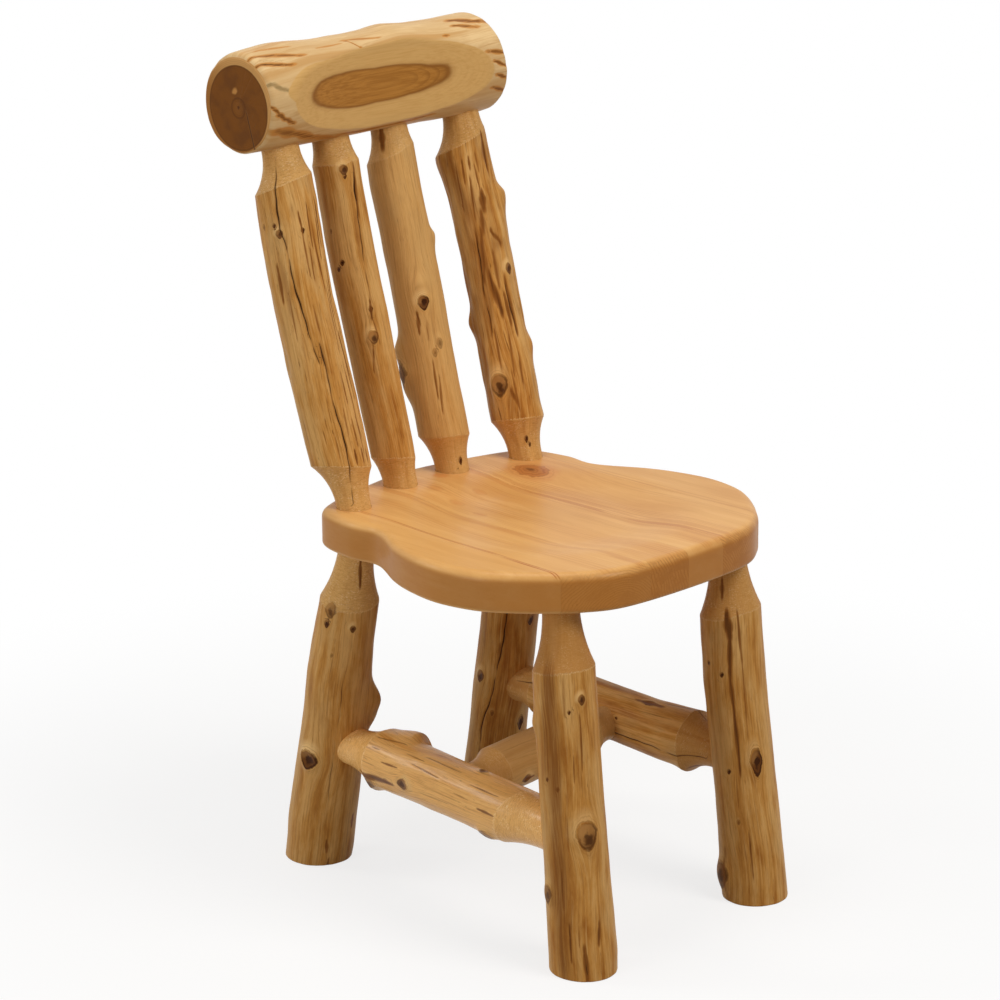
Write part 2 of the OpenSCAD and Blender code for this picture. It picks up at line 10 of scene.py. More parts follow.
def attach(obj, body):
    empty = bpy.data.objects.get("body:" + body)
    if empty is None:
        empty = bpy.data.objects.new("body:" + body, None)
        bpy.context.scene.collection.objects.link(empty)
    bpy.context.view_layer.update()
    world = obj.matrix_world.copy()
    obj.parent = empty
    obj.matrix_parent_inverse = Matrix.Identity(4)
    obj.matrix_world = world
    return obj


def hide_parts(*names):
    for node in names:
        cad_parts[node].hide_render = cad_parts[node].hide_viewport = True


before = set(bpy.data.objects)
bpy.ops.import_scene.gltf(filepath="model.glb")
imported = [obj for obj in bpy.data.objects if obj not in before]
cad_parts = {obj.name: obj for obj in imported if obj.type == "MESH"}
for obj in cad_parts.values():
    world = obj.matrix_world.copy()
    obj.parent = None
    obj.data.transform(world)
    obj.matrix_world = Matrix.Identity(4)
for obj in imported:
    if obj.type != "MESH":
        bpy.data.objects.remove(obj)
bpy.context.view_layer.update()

MM = 0.001
TAU = 2 * math.pi

# Chair sizes in millimetres, as in the part's source
SEAT_Y = -51.25
SEAT_TOP = 455.0
SEAT_UNDER = 410.0
RAIL_Y = 232.75
RAIL_Z = 905.0
RAIL_HALF = 184.5
RAIL_R = 59.0
HOLLOW_DEEP = 35.5
HOLLOW_SWEEP = 550.0
HOLLOW_X = 4.0
HOLLOW_FACE = math.radians(-93)
SPINDLE_FEET = [(-139.5, 106.75), (-42.0, 131.75), (42.0, 131.75), (139.5, 106.75)]
SPINDLE_AIM_X = [-132.0, -55.0, 38.0, 154.0]
LEG_FEET = {"front_right": (-144.0, -253.25), "front_left": (144.0, -253.25),
            "rear_right": (-116.0, 202.75), "rear_left": (147.0, 178.75)}
LEG_HEADS = {"front_right": (-136.0, -211.25), "front_left": (136.0, -211.25),
             "rear_right": (-136.0, 106.75), "rear_left": (136.0, 106.75)}
CROSS_Y = -44.25
SPINDLE_AIM_Y = RAIL_Y + 7
# Tenon radii and depths, sweeps of the tenon cutters, and the gap under a shoulder
SPINDLE_FOOT_R, SPINDLE_HEAD_R, SPINDLE_FOOT_DEEP, SPINDLE_HEAD_DEEP = 19.5, 21.5, 28.0, 36.0
LEG_HEAD_R, LEG_HEAD_DEEP = 20.5, 16.0
SPINDLE_SWEEP, LEG_SWEEP = 70.0, 168.0
SHOULDER_GAP = 0.3
NO_CUTTER = -2000.0


# Small number helpers

def bell(x):
    return np.exp(-x * x)


def ease(x, low, high):
    t = np.clip((x - low) / (high - low), 0, 1)
    return t * t * (3 - 2 * t)


def turn(a, b):
    """Angle from b to a, the short way round."""
    return (a - b + math.pi) % TAU - math.pi


def profile(s, points, soft=9.0):
    """Radius along a log through a few stations, with the corners eased."""
    at, value = np.array(points, float).T
    spread = np.linspace(-1, 1, 9)
    weight = bell(spread * 1.3)
    return sum(w * np.interp(s + soft * k, at, value) for k, w in zip(spread, weight)) / weight.sum()


def round_field(seed, theta, s, cells, step):
    """Smooth random heights from -1 to 1 round a log, with cells of them round its girth and one each step
    along it."""
    along = s / step + 40
    rng = np.random.default_rng(seed)
    table = rng.uniform(-1, 1, (160, cells))
    u = (theta / TAU * cells) % cells
    i, j = np.floor(along).astype(int), np.floor(u).astype(int) % cells
    a, b = along - np.floor(along), u - np.floor(u)
    a, b = a * a * (3 - 2 * a), b * b * (3 - 2 * b)
    i = np.clip(i, 0, 158)
    k = (j + 1) % cells
    near = table[i, j] * (1 - b) + table[i, k] * b
    return near * (1 - a) + (table[i + 1, j] * (1 - b) + table[i + 1, k] * b) * a


def swept(near, sweep, along):
    """Distance from the axis along an arc of radius sweep that starts at the distance near."""
    return near + sweep - np.sqrt(sweep ** 2 - along ** 2)


def axis_basis(start, end):
    """Turn that carries +Z to the line from start to end by the shortest way, and the line's length."""
    way = Vector(end) - Vector(start)
    return np.array(Vector((0, 0, 1)).rotation_difference(way).to_matrix()), way.length


def on_line(start, end, axis, value):
    """The point of a line that has this value on one axis."""
    start, end = np.array(start), np.array(end)
    return start + (end - start) * (value - start[axis]) / (end[axis] - start[axis])


# Log specifications

class Log:
    """One peeled log: its axis, its two measured sides, its turned ends and its marks."""

    def __init__(self, node, start, end, left, right, foot, head, side=137.0, seed=1, wave=0.7, furrow=0.25,
                 rough=0.15, gouge=0.4, knots=(), checks=(), stains=(), sawn_foot=False, look=None):
        self.node, self.start, self.end = node, np.array(start, float), np.array(end, float)
        self.turned, self.length = axis_basis(start, end)
        self.left, self.right, self.side = left, right, math.radians(side)
        self.foot, self.head = foot, head
        self.seed, self.wave, self.furrow, self.rough, self.gouge = seed, wave, furrow, rough, gouge
        self.knots, self.checks, self.stains = knots, checks, stains
        self.sawn_foot, self.look = sawn_foot, look or {}
        self.screws = []
        self.girth_r = float(np.mean([r for _, r in left] + [r for _, r in right]))

    def tool_radius(self, s):
        """Radius that the tenon cutters leave at station s."""
        foot_r, foot_start, foot_sweep, _ = self.foot
        head_r, head_start, head_sweep, _ = self.head
        return np.minimum(swept(foot_r, foot_sweep, np.clip(s - foot_start, 0, foot_sweep)),
                          swept(head_r, head_sweep, np.clip(head_start - s, 0, head_sweep)))

    def across(self, theta, angle):
        return self.girth_r * turn(theta, math.radians(angle))

    def skin_radius(self, theta, s):
        left, right = profile(s, self.left), profile(s, self.right)
        r = (left + right) / 2 + (left - right) / 2 * np.cos(theta - self.side)
        for salt, height, cells, step in ((0, self.wave, 6, 52), (1, 0.3, 11, 24), (5, 0.4, 9, 105)):
            r = r + height * round_field(self.seed + salt, theta, s, cells, step)
        for station, angle, size, height, look, *skew in self.knots:
            u, v = self.across(theta, angle), s - station
            v = v * np.where(v > 0, 1 + sum(skew), 1 - 0.45 * sum(skew))
            core = np.hypot(u / size, v / (size * look.long))
            r = r + height * bell(np.hypot(u / (size * look.broad), v / (size * look.reach)))
            r = r + look.lip * bell((core - 1.0) / 0.4) - look.sunk * bell(core / 0.7)
        return r

    def relief(self, theta, s):
        """Furrows and drying checks, taken off the skin."""
        n = round_field(self.seed + 2, theta, s, 19, 88)
        m = round_field(self.seed + 3, theta, s, 31, 60)
        cut = -self.furrow * (1.4 * np.clip(n, 0, 1) ** 2 + 0.8 * np.clip(m, 0, 1) ** 2)
        cut = cut - self.rough * (1 + round_field(self.seed + 6, theta, s, 33, 21)) ** 2 * 0.5
        cut = cut - self.gouge * self.stain_and_shade_at(theta, s)
        for station, angle in self.screws:
            cut = cut - 1.5 * ease(np.hypot(self.across(theta, angle), s - station), 5.8, 3.6)
        offset, half = self.check_at(theta, s)
        opened = np.clip(half * 2.6, 0.5, 2.2) * bell(offset / np.clip(half * 1.6, 1.2, 3))
        return cut - np.where(half > 0, opened, 0)

    def check_at(self, theta, s):
        """Signed distance in millimetres to the nearest drying check, and its half width there."""
        best, half = 0 * theta + 9.0, 0 * theta
        for number, (width, line) in enumerate(self.checks):
            at = np.array(sorted(line), float)
            angle = np.unwrap(np.radians(at[:, 1]))
            middle = sum(np.interp(s + k, at[:, 0], angle) for k in (-9, -3, 3, 9)) / 4
            wander = 0.5 * np.sin(s / 11.3 + number) + 0.25 * np.sin(s / 3.7 + 2 * number)
            middle = middle + wander / self.girth_r
            offset = self.girth_r * turn(theta, middle)
            reach = np.clip(np.minimum(s - at[0, 0], at[-1, 0] - s) / 16.0, 0, 1)
            vary = 0.72 + 0.4 * np.sin(s / 17.0 + 3 * number) + 0.2 * np.sin(s / 5.3)
            width_here = width * np.sqrt(reach) * np.clip(vary, 0.15, 1.2) * (np.abs(offset) < 6)
            closer = (width_here > 0) & (np.abs(offset) < np.abs(best))
            best, half = np.where(closer, offset, best), np.where(closer, width_here, half)
        return best, half

    def knot_at(self, theta, s):
        """Place in the nearest knot, one at its rim, with how strongly it shows, its darkness, its halo and
        its paleness."""
        u_best = v_best = 0 * theta + 3.0
        shown = dark = halo = egg = 0 * theta
        for station, angle, size, height, look, *skew in self.knots:
            if look.shown == 0:
                continue
            u, v = self.across(theta, angle) / size, (s - station) / (size * look.long)
            d = np.hypot(u, v)
            closer = (d < 3.2) & (d < np.hypot(u_best, v_best))
            u_best, v_best = np.where(closer, u, u_best), np.where(closer, v, v_best)
            shown = np.where(closer, np.clip((3.2 - d) / 0.6, 0, 1) * look.shown, shown)
            looks = ((look.dark, dark), (look.halo, halo), (look.egg, egg))
            dark, halo, egg = (np.where(closer, new, old) for new, old in looks)
        return u_best, v_best, shown, dark, halo, egg

    def stain_and_shade_at(self, theta, s, stains=None):
        mask = 0 * theta
        # painted shadow: a dark ring in the dimple round each screw head, in every mask this returns
        for station, angle in self.screws:
            rim = np.hypot(self.across(theta, angle), s - station) - 4.7
            mask = np.maximum(mask, bell(rim / 1.1))
        for s0, a0, s1, a1, width, strength in self.stains if stains is None else stains:
            span = abs(s1 - s0) + 1e-6
            t = np.clip((s - s0) / (s1 - s0 + 1e-6), 0, 1)
            u = self.girth_r * turn(theta, np.radians(a0 + (a1 - a0) * t))
            over = np.maximum(np.maximum(min(s0, s1) - s, s - max(s0, s1)), 0)
            taper = width * (0.45 + 0.55 * np.sin(math.pi * np.clip(t, 0.12, 0.88)))
            mask = np.maximum(mask, strength * bell(np.hypot(u / taper, over / (0.16 * span + width))))
        return mask

    def grain_at(self, theta, s):
        """Grain coordinates in millimetres: along the log, with the fibres led round the knots."""
        swing = 0.05 * np.sin(s / 61.0 + self.seed) + 0.03 * np.sin(s / 23.0 + 2 * self.seed)
        bent = theta + swing
        for station, angle, size, height, look, *skew in self.knots:
            u, v = self.across(theta, angle), s - station
            bent = bent - u / self.girth_r * bell(np.hypot(u / (size * 1.5), v / (size * 2.6))) * 0.92
        return self.girth_r * np.cos(bent), self.girth_r * np.sin(bent), s

    def marks(self, theta, s):
        """Stains with painted shadow rings round the screw heads, grain and checks at points of the skin."""
        offset, half = self.check_at(theta, s)
        return {"stain_and_shade": self.stain_and_shade_at(theta, s), "grain": self.grain_at(theta, s),
                "check": (offset, half, 0 * half)}


def leg_point(name, z):
    foot, head = LEG_FEET[name], LEG_HEADS[name]
    return on_line((*foot, 0.0), (*head, SEAT_UNDER), 2, z)


def spindle(number, node, left, right, **more):
    (x, y), aim = SPINDLE_FEET[number], SPINDLE_AIM_X[number]
    start, end = (x, y, SEAT_TOP), (aim, SPINDLE_AIM_Y, RAIL_Z)
    length = float(np.linalg.norm(np.subtract(end, start)))
    lean = math.hypot(end[0] - x, end[1] - y) / (RAIL_Z - SEAT_TOP)
    foot = (SPINDLE_FOOT_R, SPINDLE_FOOT_R * lean + SHOULDER_GAP, SPINDLE_SWEEP, -SPINDLE_FOOT_DEEP)
    under_rail = length - RAIL_R
    head = (SPINDLE_HEAD_R, under_rail - SHOULDER_GAP, SPINDLE_SWEEP, under_rail + SPINDLE_HEAD_DEEP)
    return Log(node, start, end, left, right, foot, head, **more)


def leg(name, left, right, **more):
    start, end = (*LEG_FEET[name], 0.0), (*LEG_HEADS[name], SEAT_UNDER)
    length = float(np.linalg.norm(np.subtract(end, start)))
    lean = math.hypot(end[0] - start[0], end[1] - start[1]) / SEAT_UNDER
    foot = (LEG_HEAD_R, NO_CUTTER, LEG_SWEEP, 0.0)
    head = (LEG_HEAD_R, length - LEG_HEAD_R * lean - SHOULDER_GAP, LEG_SWEEP, length + LEG_HEAD_DEEP)
    return Log("leg_" + name, start, end, left, right, foot, head, sawn_foot=True, **more)


def stretcher(node, line, left, right, foot, head, start, tip, **more):
    """A log between two others. Its foot and head are each a tenon radius and a cutter's sweep."""
    length = float(np.linalg.norm(line[1] - line[0]))
    return Log(node, *line, left, right, (foot[0], start, foot[1], tip),
               (head[0], length - start, head[1], length - tip), **more)


class KnotLook:
    """How one sort of knot swells the log and how dark, pale-ringed, long and pale-bodied it is."""

    def __init__(self, dark, halo, long=1.3, broad=1.7, reach=2.6, lip=0.5, sunk=0.7, shown=1.0, egg=0.0):
        self.dark, self.halo, self.long, self.broad, self.reach = dark, halo, long, broad, reach
        self.lip, self.sunk, self.shown, self.egg = lip, sunk, shown, egg


EYE = KnotLook(0.9, 1.1)
DARK_EYE = KnotLook(1.3, 1.3, sunk=1.1)
BIG = KnotLook(0.7, 1.3, long=1.2, egg=0.2)
EGG = KnotLook(0.9, 0.8, long=1.35, broad=1.6, reach=2.2, lip=0.7, sunk=0.6, egg=0.6)
DIAMOND = KnotLook(1.5, 0.7, long=2.1, broad=1.6, reach=1.8, lip=0.4, sunk=1.0)
STUB = KnotLook(1.3, 1.6, long=1.1, broad=1.3, reach=1.6, lip=2.0, sunk=2.8)
PIN = KnotLook(1.5, 0.1, lip=0.0, sunk=0.3)
FAINT = KnotLook(0.4, 0.3, long=1.6, lip=0.0, sunk=0.1)
LUMP = KnotLook(0.0, 0.0, broad=1.2, reach=1.25, lip=0.0, sunk=0.0, shown=0.0)
DARK_LUMP = KnotLook(0.75, 0.6, broad=1.2, reach=1.25, lip=0.8, sunk=0.8)
ROUGH = KnotLook(0.7, 0.1, long=1.2, lip=0.3, sunk=0.5, egg=0.3)

side_right = (leg_point("rear_right", 158), leg_point("front_right", 150))
side_left = (leg_point("rear_left", 168), leg_point("front_left", 165))
cross_line = tuple(on_line(*line, 1, CROSS_Y) for line in (side_right, side_left))

LOGS = [
    spindle(0, "spindle_right_outer",
        [(48, 38), (100, 40.3), (160, 42.2), (240, 43), (300, 42.5), (340, 41), (370, 38.5)],
        [(48, 28.5), (120, 28), (180, 27.3), (240, 25.3), (300, 26), (336, 28), (345, 29.5), (368, 29.5)],
        seed=11, wave=0.8, furrow=1.0, rough=0.3, gouge=1.2,
        knots=[(317, -163, 3.8, 0.6, EYE), (327, -170, 2.0, 0.1, PIN), (328, 167, 2.2, 0.1, FAINT),
               (316, -120, 2.4, 0.2, PIN)],
        checks=[(0.6, [(404, -150), (371, -156), (345, -159), (320, -161), (296, -156), (247, -156),
                (206, -148), (165, -141)]), (0.55, [(190, -133), (178, -131), (129, -131), (105, -127),
                (76, -124), (47, -123), (21, -128), (1, -133)])],
        stains=[(322, -78, 286, -84, 1.7, 0.9), (276, -66, 222, -74, 1.7, 0.9),
                (225, -60, 187, -66, 1.6, 0.9), (190, -76, 137, -62, 1.8, 0.9),
                (137, -50, 104, -44, 1.7, 0.8), (78, -44, 50, -42, 1.7, 0.8),
                (300, -95, 250, -93, 1.5, 0.8), (340, -100, 300, -104, 1.5, 0.8),
                (240, -88, 180, -90, 1.6, 0.7), (160, -84, 110, -80, 1.5, 0.7),
                (279, 179, 245, 177, 2.3, 0.9), (335, -122, 318, -121, 1.7, 0.8),
                (315, -122, 270, -123, 1.4, 0.7), (292, -112, 262, -116, 1.5, 0.8),
                (230, -130, 205, -128, 1.6, 0.6), (150, -100, 120, -98, 1.6, 0.7),
                (110, -112, 84, -112, 1.7, 0.7), (96, -95, 70, -94, 1.7, 0.7),
                (345, -70, 300, -72, 1.8, 0.8), (300, -58, 255, -56, 1.7, 0.8),
                (250, -80, 205, -82, 1.6, 0.8), (205, -50, 160, -50, 1.8, 0.8),
                (170, -72, 125, -70, 1.6, 0.8), (130, -62, 84, -60, 1.8, 0.8),
                (110, -80, 64, -78, 1.7, 0.8), (80, -140, 60, -139, 1.6, 0.6),
                (240, -170, 200, -170, 1.6, 0.5), (62, -105, 50, -105, 2.1, 0.8),
                (62, -85, 50, -85, 2.0, 0.8), (60, -68, 48, -68, 1.9, 0.8)],
        look=dict(tone=0.62, streak=1.2, grey=0.45, fresh=0.9)),
    spindle(1, "spindle_right_inner", [(40, 27.5), (120, 28.3), (200, 29), (300, 29.3), (360, 27)],
        [(40, 23.5), (100, 24.3), (200, 25.2), (260, 24.3), (340, 26), (368, 28)],
        seed=23, wave=0.4, furrow=0.25,
        knots=[(368, -116, 4.6, 0.9, EYE), (360, -116, 2.0, 0.2, PIN), (265, -163, 2.6, 0.3, PIN),
               (258, -177, 2.2, 0.2, PIN), (302, -178, 1.8, 0.1, FAINT), (207, -118, 2.6, 0.4, PIN),
               (175, -125, 5.6, 1.2, EGG)],
        checks=[(0.9, [(364, -86), (345, -92), (326, -95)]), (0.3, [(330, -95), (296, -104), (276, -107),
                (238, -111), (212, -117)])],
        stains=[(330, 178, 60, 176, 12, 0.35), (215, -116, 198, -119, 2.2, 0.9),
                (165, -130, 138, -140, 1.8, 0.7), (366, -86, 318, -96, 3.2, 0.8),
                (200, -118, 168, -112, 1.6, 0.6), (120, -120, 70, -122, 2.5, 0.35)],
        look=dict(tone=0.62, streak=0.6, grey=0.15, fresh=0.75)),
    spindle(2, "spindle_left_inner",
        [(50, 32), (100, 33), (180, 32), (240, 31.5), (300, 33.3), (340, 34.3), (370, 33)],
        [(50, 28.3), (120, 26.5), (220, 27.7), (300, 25.3), (330, 24.5), (370, 25)],
        seed=37, wave=0.5, furrow=0.35,
        knots=[(200, -128, 6.2, 1.2, DARK_EYE), (223, -128, 8.5, 2.0, LUMP), (150, -106, 4.0, 0.4, FAINT),
               (140, -123, 3.4, 0.1, FAINT), (273, -44, 9, 4.2, LUMP, 0.5), (148, 137, 11, 8.0, LUMP),
               (120, 138, 13, 9.0, DARK_LUMP), (96, 136, 10, 4.0, LUMP), (146, 128, 3, 0.2, PIN),
               (10, -98, 3.6, 0.6, PIN)],
        stains=[(402, -158, 386, -159, 7, 0.9), (187, -146, 168, -149, 3.2, 0.75),
                (175, -128, 158, -132, 4.0, 0.45), (200, -112, 150, -116, 5.0, 0.35),
                (128, -131, 92, -134, 2.0, 0.75), (110, -123, 74, -130, 2.0, 0.7),
                (160, -140, 100, -146, 5, 0.25)],
        look=dict(tone=0.92, streak=0.45, grey=0.4, fresh=0.45, pale=0.3)),
    spindle(3, "spindle_left_outer",
        [(55, 33.5), (100, 33.3), (200, 32), (280, 32.3), (320, 34), (345, 37.5), (358, 39.5), (370, 38)],
        [(55, 31), (90, 31), (160, 29), (240, 29.3), (280, 29.5), (340, 26), (370, 25.5)],
        seed=41, wave=0.8, furrow=1.2, rough=0.6, gouge=1.5,
        knots=[(306, -121, 4.2, 0.5, FAINT), (221, -87, 5.2, 1.2, EYE), (89, -160, 9.5, 2.4, EGG),
               (310, -46, 12, 6.5, LUMP, 0.6), (130, -45, 11, 3.6, LUMP), (165, 137, 11, 5.0, LUMP),
               (21, -122, 3.2, 0.5, PIN), (14, -113, 2.4, 0.3, PIN)],
        checks=[(0.4, [(262, -152), (200, -158), (150, -156)]), (0.4, [(205, -104), (160, -98), (140, -99)])],
        stains=[(312, -121, 296, -122, 5, 0.9), (290, -130, 270, -134, 4, 0.7),
                (267, -115, 253, -95, 4, 0.8), (268, -138, 216, -152, 3.5, 0.7),
                (215, -139, 175, -126, 5, 0.9), (205, -102, 151, -97, 4, 0.8),
                (240, -120, 205, -120, 4, 0.6), (190, -112, 160, -108, 3.5, 0.7),
                (330, -140, 290, -146, 1.7, 0.7), (345, -125, 320, -123, 1.7, 0.7),
                (352, -150, 330, -152, 1.7, 0.7), (340, -165, 300, -168, 1.7, 0.6),
                (150, -150, 110, -150, 2, 0.6), (140, -120, 100, -125, 2, 0.6),
                (120, -105, 90, -108, 2.4, 0.6), (79, -138, 67, -131, 4, 0.7),
                (378, -86, 343, -87, 3.5, 1.0), (262, -152, 200, -160, 1.9, 0.7),
                (180, -155, 150, -158, 2, 0.6), (100, -130, 60, -128, 1.7, 0.6),
                (358, -118, 340, -117, 1.8, 0.6), (356, -135, 344, -136, 1.8, 0.7)],
        look=dict(tone=0.5, streak=1.3, grey=0.35, fresh=0.7)),
    leg("front_right", [(0, 38.3), (60, 37.7), (120, 36.8), (220, 36.3), (300, 36.5), (345, 35)],
        [(0, 37), (20, 38), (100, 35.5), (200, 34), (240, 33.8), (345, 34)],
        seed=53, wave=0.35, furrow=0.2,
        knots=[(313, -108, 4.4, 0.9, EYE), (301, -133, 1.9, 0.2, PIN), (225, 176, 1.9, 0.2, PIN),
               (215, -163, 2.1, 0.2, PIN), (162, -115, 11.5, 2.2, EGG), (93, 158, 8, 2.4, DARK_LUMP),
               (284, 150, 9, 3.4, LUMP)],
        checks=[(0.35, [(62, -156), (48, -156)]), (0.4, [(27, -133), (3, -131)]), (0.3, [(100, -165),
                (84, -165)])],
        # the two wide soft stains down the left side are partly a darker band in the wood and partly painted
        # shade
        stains=[(330, -168, 200, -171, 20, 0.6), (200, -170, 20, -172, 19, 0.55),
                (121, -165, 83, -165, 2.4, 0.8), (60, -156, 24, -156, 2, 0.8),
                (34, -133, 2, -131, 3.4, 0.9), (60, -103, 40, -108, 3, 0.8),
                (292, -113, 240, -115, 1.7, 0.8), (336, -140, 300, -141, 3, 0.5),
                (250, -130, 225, -131, 1.6, 0.6), (180, -148, 140, -150, 1.7, 0.5),
                (140, -92, 110, -94, 2, 0.4), (60, -140, 40, -141, 1.8, 0.6)],
        look=dict(tone=0.54, streak=0.6, grey=0.3, fresh=0.9, aged=0.7)),
    leg("front_left", [(0, 38.8), (80, 37.2), (140, 37), (200, 37.6), (260, 38.6), (345, 36.5)],
        [(0, 37.2), (100, 36), (150, 34.5), (260, 32.3), (345, 33.3)],
        seed=61, wave=0.35, furrow=0.25,
        knots=[(287, 166, 2.0, 0.2, PIN), (275, -166, 2.4, 0.2, PIN), (160, -168, 2.4, 0.2, PIN),
               (169, -115, 7.2, 1.0, DIAMOND), (33, 156, 12, 6.5, DARK_LUMP), (100, -157, 2.0, 0.1, FAINT)],
        checks=[(0.3, [(84, -140), (60, -140)])],
        stains=[(343, -148, 321, -146, 6, 1.0), (321, -146, 277, -150, 3.4, 1.0),
                (277, -152, 232, -149, 2.6, 0.95), (232, -149, 165, -147, 2.8, 0.95),
                (342, -128, 293, -127, 2.4, 0.8), (293, -127, 205, -128, 1.8, 0.6),
                (380, -159, 366, -159, 5, 0.8), (84, -140, 38, -139, 1.9, 0.7), (60, 168, 10, 166, 6, 0.5),
                (150, -155, 120, -155, 1.6, 0.5), (120, -125, 60, -122, 2, 0.35),
                (340, -165, 300, -166, 6, 0.3)],
        look=dict(tone=0.6, streak=0.6, grey=0.3, fresh=0.8, aged=0.45)),
    leg("rear_right", [(0, 40.5), (60, 42.2), (120, 40), (200, 39.3), (255, 40.5), (300, 38), (345, 35.3)],
        [(0, 37.3), (20, 39), (60, 38), (140, 37.5), (190, 38), (260, 34.5), (300, 32.3), (345, 32.8)],
        seed=71, wave=0.5, furrow=0.3,
        knots=[(347, -174, 8.0, 0.8, ROUGH), (329, -177, 3.8, 0.3, PIN), (330, -125, 3.6, 0.6, EYE),
               (149, -175, 10.5, 4.0, STUB), (222, -47, 14, 12.5, LUMP), (198, -47, 12, 6.0, LUMP),
               (292, -158, 1.8, 0.1, FAINT)],
        checks=[(0.13, [(323, -124), (290, -124), (257, -132), (211, -131), (150, -134), (60, -132)])],
        stains=[(205, -150, 190, -148, 11, 0.35), (410, -118, 384, -114, 5, 0.85),
                (69, -76, 58, -76, 5, 0.7), (43, -127, 30, -125, 3, 0.8), (17, -120, 2, -120, 2.5, 0.7),
                (120, -165, 60, -168, 1.7, 0.4), (300, -155, 260, -156, 1.6, 0.5),
                (240, -100, 120, -105, 8, 0.3), (228, -44, 214, -44, 5, 0.8)],
        look=dict(tone=0.68, streak=0.5, grey=0.2, fresh=0.95)),
    leg("rear_left", [(0, 37), (100, 35), (160, 36), (240, 35), (345, 33.5)],
        [(0, 37.5), (120, 35), (240, 34), (345, 33)], seed=83, wave=0.5, furrow=0.3,
        knots=[(180, 171, 6.0, 1.4, EYE), (263, -93, 4.5, 0.6, PIN), (124, -90, 4.5, 0.6, DIAMOND),
               (138, -153, 2.4, 0.2, FAINT)],
        checks=[(0.5, [(400, -142), (320, -142), (270, -144), (228, -148), (187, -153), (155, -159),
                (115, -174), (84, -173), (50, -176)])],
        stains=[(228, -151, 214, -150, 6, 0.5), (60, -130, 20, -131, 3, 0.4)],
        look=dict(tone=0.38, streak=0.6, grey=0.35, fresh=0.5)),
    stretcher("side_stretcher_right", side_right, [(45, 34), (160, 33.5), (250, 33.8), (330, 36)],
        [(45, 34.5), (80, 35), (100, 33.5), (160, 32), (200, 31.3), (320, 30)], (22.5, 108.0), (26.0, 190.0),
        39.5, 4.0, side=-123, seed=97, wave=0.4, furrow=0.3,
        knots=[(158, -179, 6.2, 1.2, EYE), (128, -170, 3.0, 0.3, FAINT), (254, 83, 5.0, 2.4, BIG),
               (132, 58, 15, 10.0, LUMP, 0.9), (96, -150, 7, 3.0, DARK_LUMP),
               (86, -123, 10, 6.5, DARK_LUMP), (288, -138, 8, 4.8, DARK_LUMP)],
        stains=[(132, -167, 88, -164, 4.5, 0.9), (133, 102, 96, 111, 2, 0.6),
                (167, 136, 206, 142, 1.6, 0.7), (284, 169, 305, 170, 2.5, 0.7),
                (121, 156, 142, 155, 1.6, 0.7), (98, 135, 108, 134, 1.7, 0.6),
                (242, 159, 262, 160, 1.5, 0.6), (180, 110, 230, 112, 1.6, 0.6),
                (150, 120, 175, 121, 1.5, 0.6), (220, 170, 250, 171, 1.5, 0.5),
                (260, 130, 300, 131, 1.5, 0.6), (190, -175, 230, -176, 1.6, 0.5)],
        look=dict(tone=0.95, streak=1.0, grey=0.0, fresh=1.0, pale_and_lit=1.36, coat=0.45)),
    stretcher("side_stretcher_left", side_left, [(40, 30), (180, 30.8), (260, 34), (330, 35.3)],
        [(40, 31), (140, 35.5), (200, 33.3), (240, 32.8), (310, 36)], (22.5, 60.0), (22.5, 55.0), 39.5, 4.0,
        side=-117, seed=103, wave=0.4, furrow=0.25,
        knots=[(246, 105, 4.6, 0.9, DIAMOND), (317, 88, 8, 2.4, LUMP), (324, -117, 13, 6.0, LUMP),
               (215, 160, 1.8, 0.1, PIN)],
        checks=[(0.5, [(196, -167), (208, -167), (268, -166), (349, -163)]), (0.4, [(90, 140), (56, 149),
                (40, 152)])],
        stains=[(262, 104, 232, 106, 5, 0.8), (320, 78, 272, 87, 3, 0.8), (332, -119, 318, -119, 4, 0.8),
                (290, 128, 240, 131, 1.5, 0.5), (200, 120, 160, 122, 1.6, 0.4)],
        look=dict(tone=0.48, streak=0.5, grey=0.6, fresh=0.8, aged=0.5)),
    stretcher("cross_stretcher", cross_line, [(30, 28.6), (100, 29.5), (200, 29)],
        [(30, 28.8), (120, 29), (230, 28.5)], (20.0, 50.0), (20.0, 50.0), 33.0, 5.0, side=140,
        seed=109, wave=0.5, furrow=0.25, knots=[(85, -72, 5.0, 0.8, EYE), (170, 120, 4.0, 0.5, FAINT)],
        checks=[(0.3, [(200, 150), (150, 152)])],
        stains=[(120, -140, 60, -140, 9, 0.3), (95, -71, 84, -71, 3, 0.8)],
        look=dict(tone=0.75, streak=0.2, grey=0.7, fresh=0.6, aged=0.3, pale=0.6)),
]


# Node wiring

def tint(red, green, blue):
    """A colour read as screen values from 0 to 255."""
    screen = (red / 255, green / 255, blue / 255)
    return (*(c / 12.92 if c <= 0.04045 else ((c + 0.055) / 1.055) ** 2.4 for c in screen), 1.0)


class Signal:
    """A node's output. A sum or product with it makes the node that works it out."""

    def __init__(self, wires, socket):
        self.wires, self.socket = wires, socket

    def __add__(self, other):
        return self.wires.math("ADD", self, other)

    def __mul__(self, other):
        return self.wires.math("MULTIPLY", self, other)

    def __sub__(self, other):
        return self.wires.math("SUBTRACT", self, other)

    def __rsub__(self, other):
        return self.wires.math("SUBTRACT", other, self)

    def __truediv__(self, other):
        return self.wires.math("DIVIDE", self, other)

    def __abs__(self):
        return self.wires.math("ABSOLUTE", self)

    __radd__, __rmul__ = __add__, __mul__

    def step(self, low, high, eased=True):
        """Rise from 0 at low to 1 at high."""
        feeds = {"Value": self, "From Min": low, "From Max": high}
        way = "SMOOTHSTEP" if eased else "LINEAR"
        return self.wires.node("ShaderNodeMapRange", feeds, interpolation_type=way)[0]


class Outputs:
    """A node's outputs, picked by name or number."""

    def __init__(self, wires, node):
        self.wires, self.node = wires, node

    def __getitem__(self, key):
        return Signal(self.wires, self.node.outputs[key])


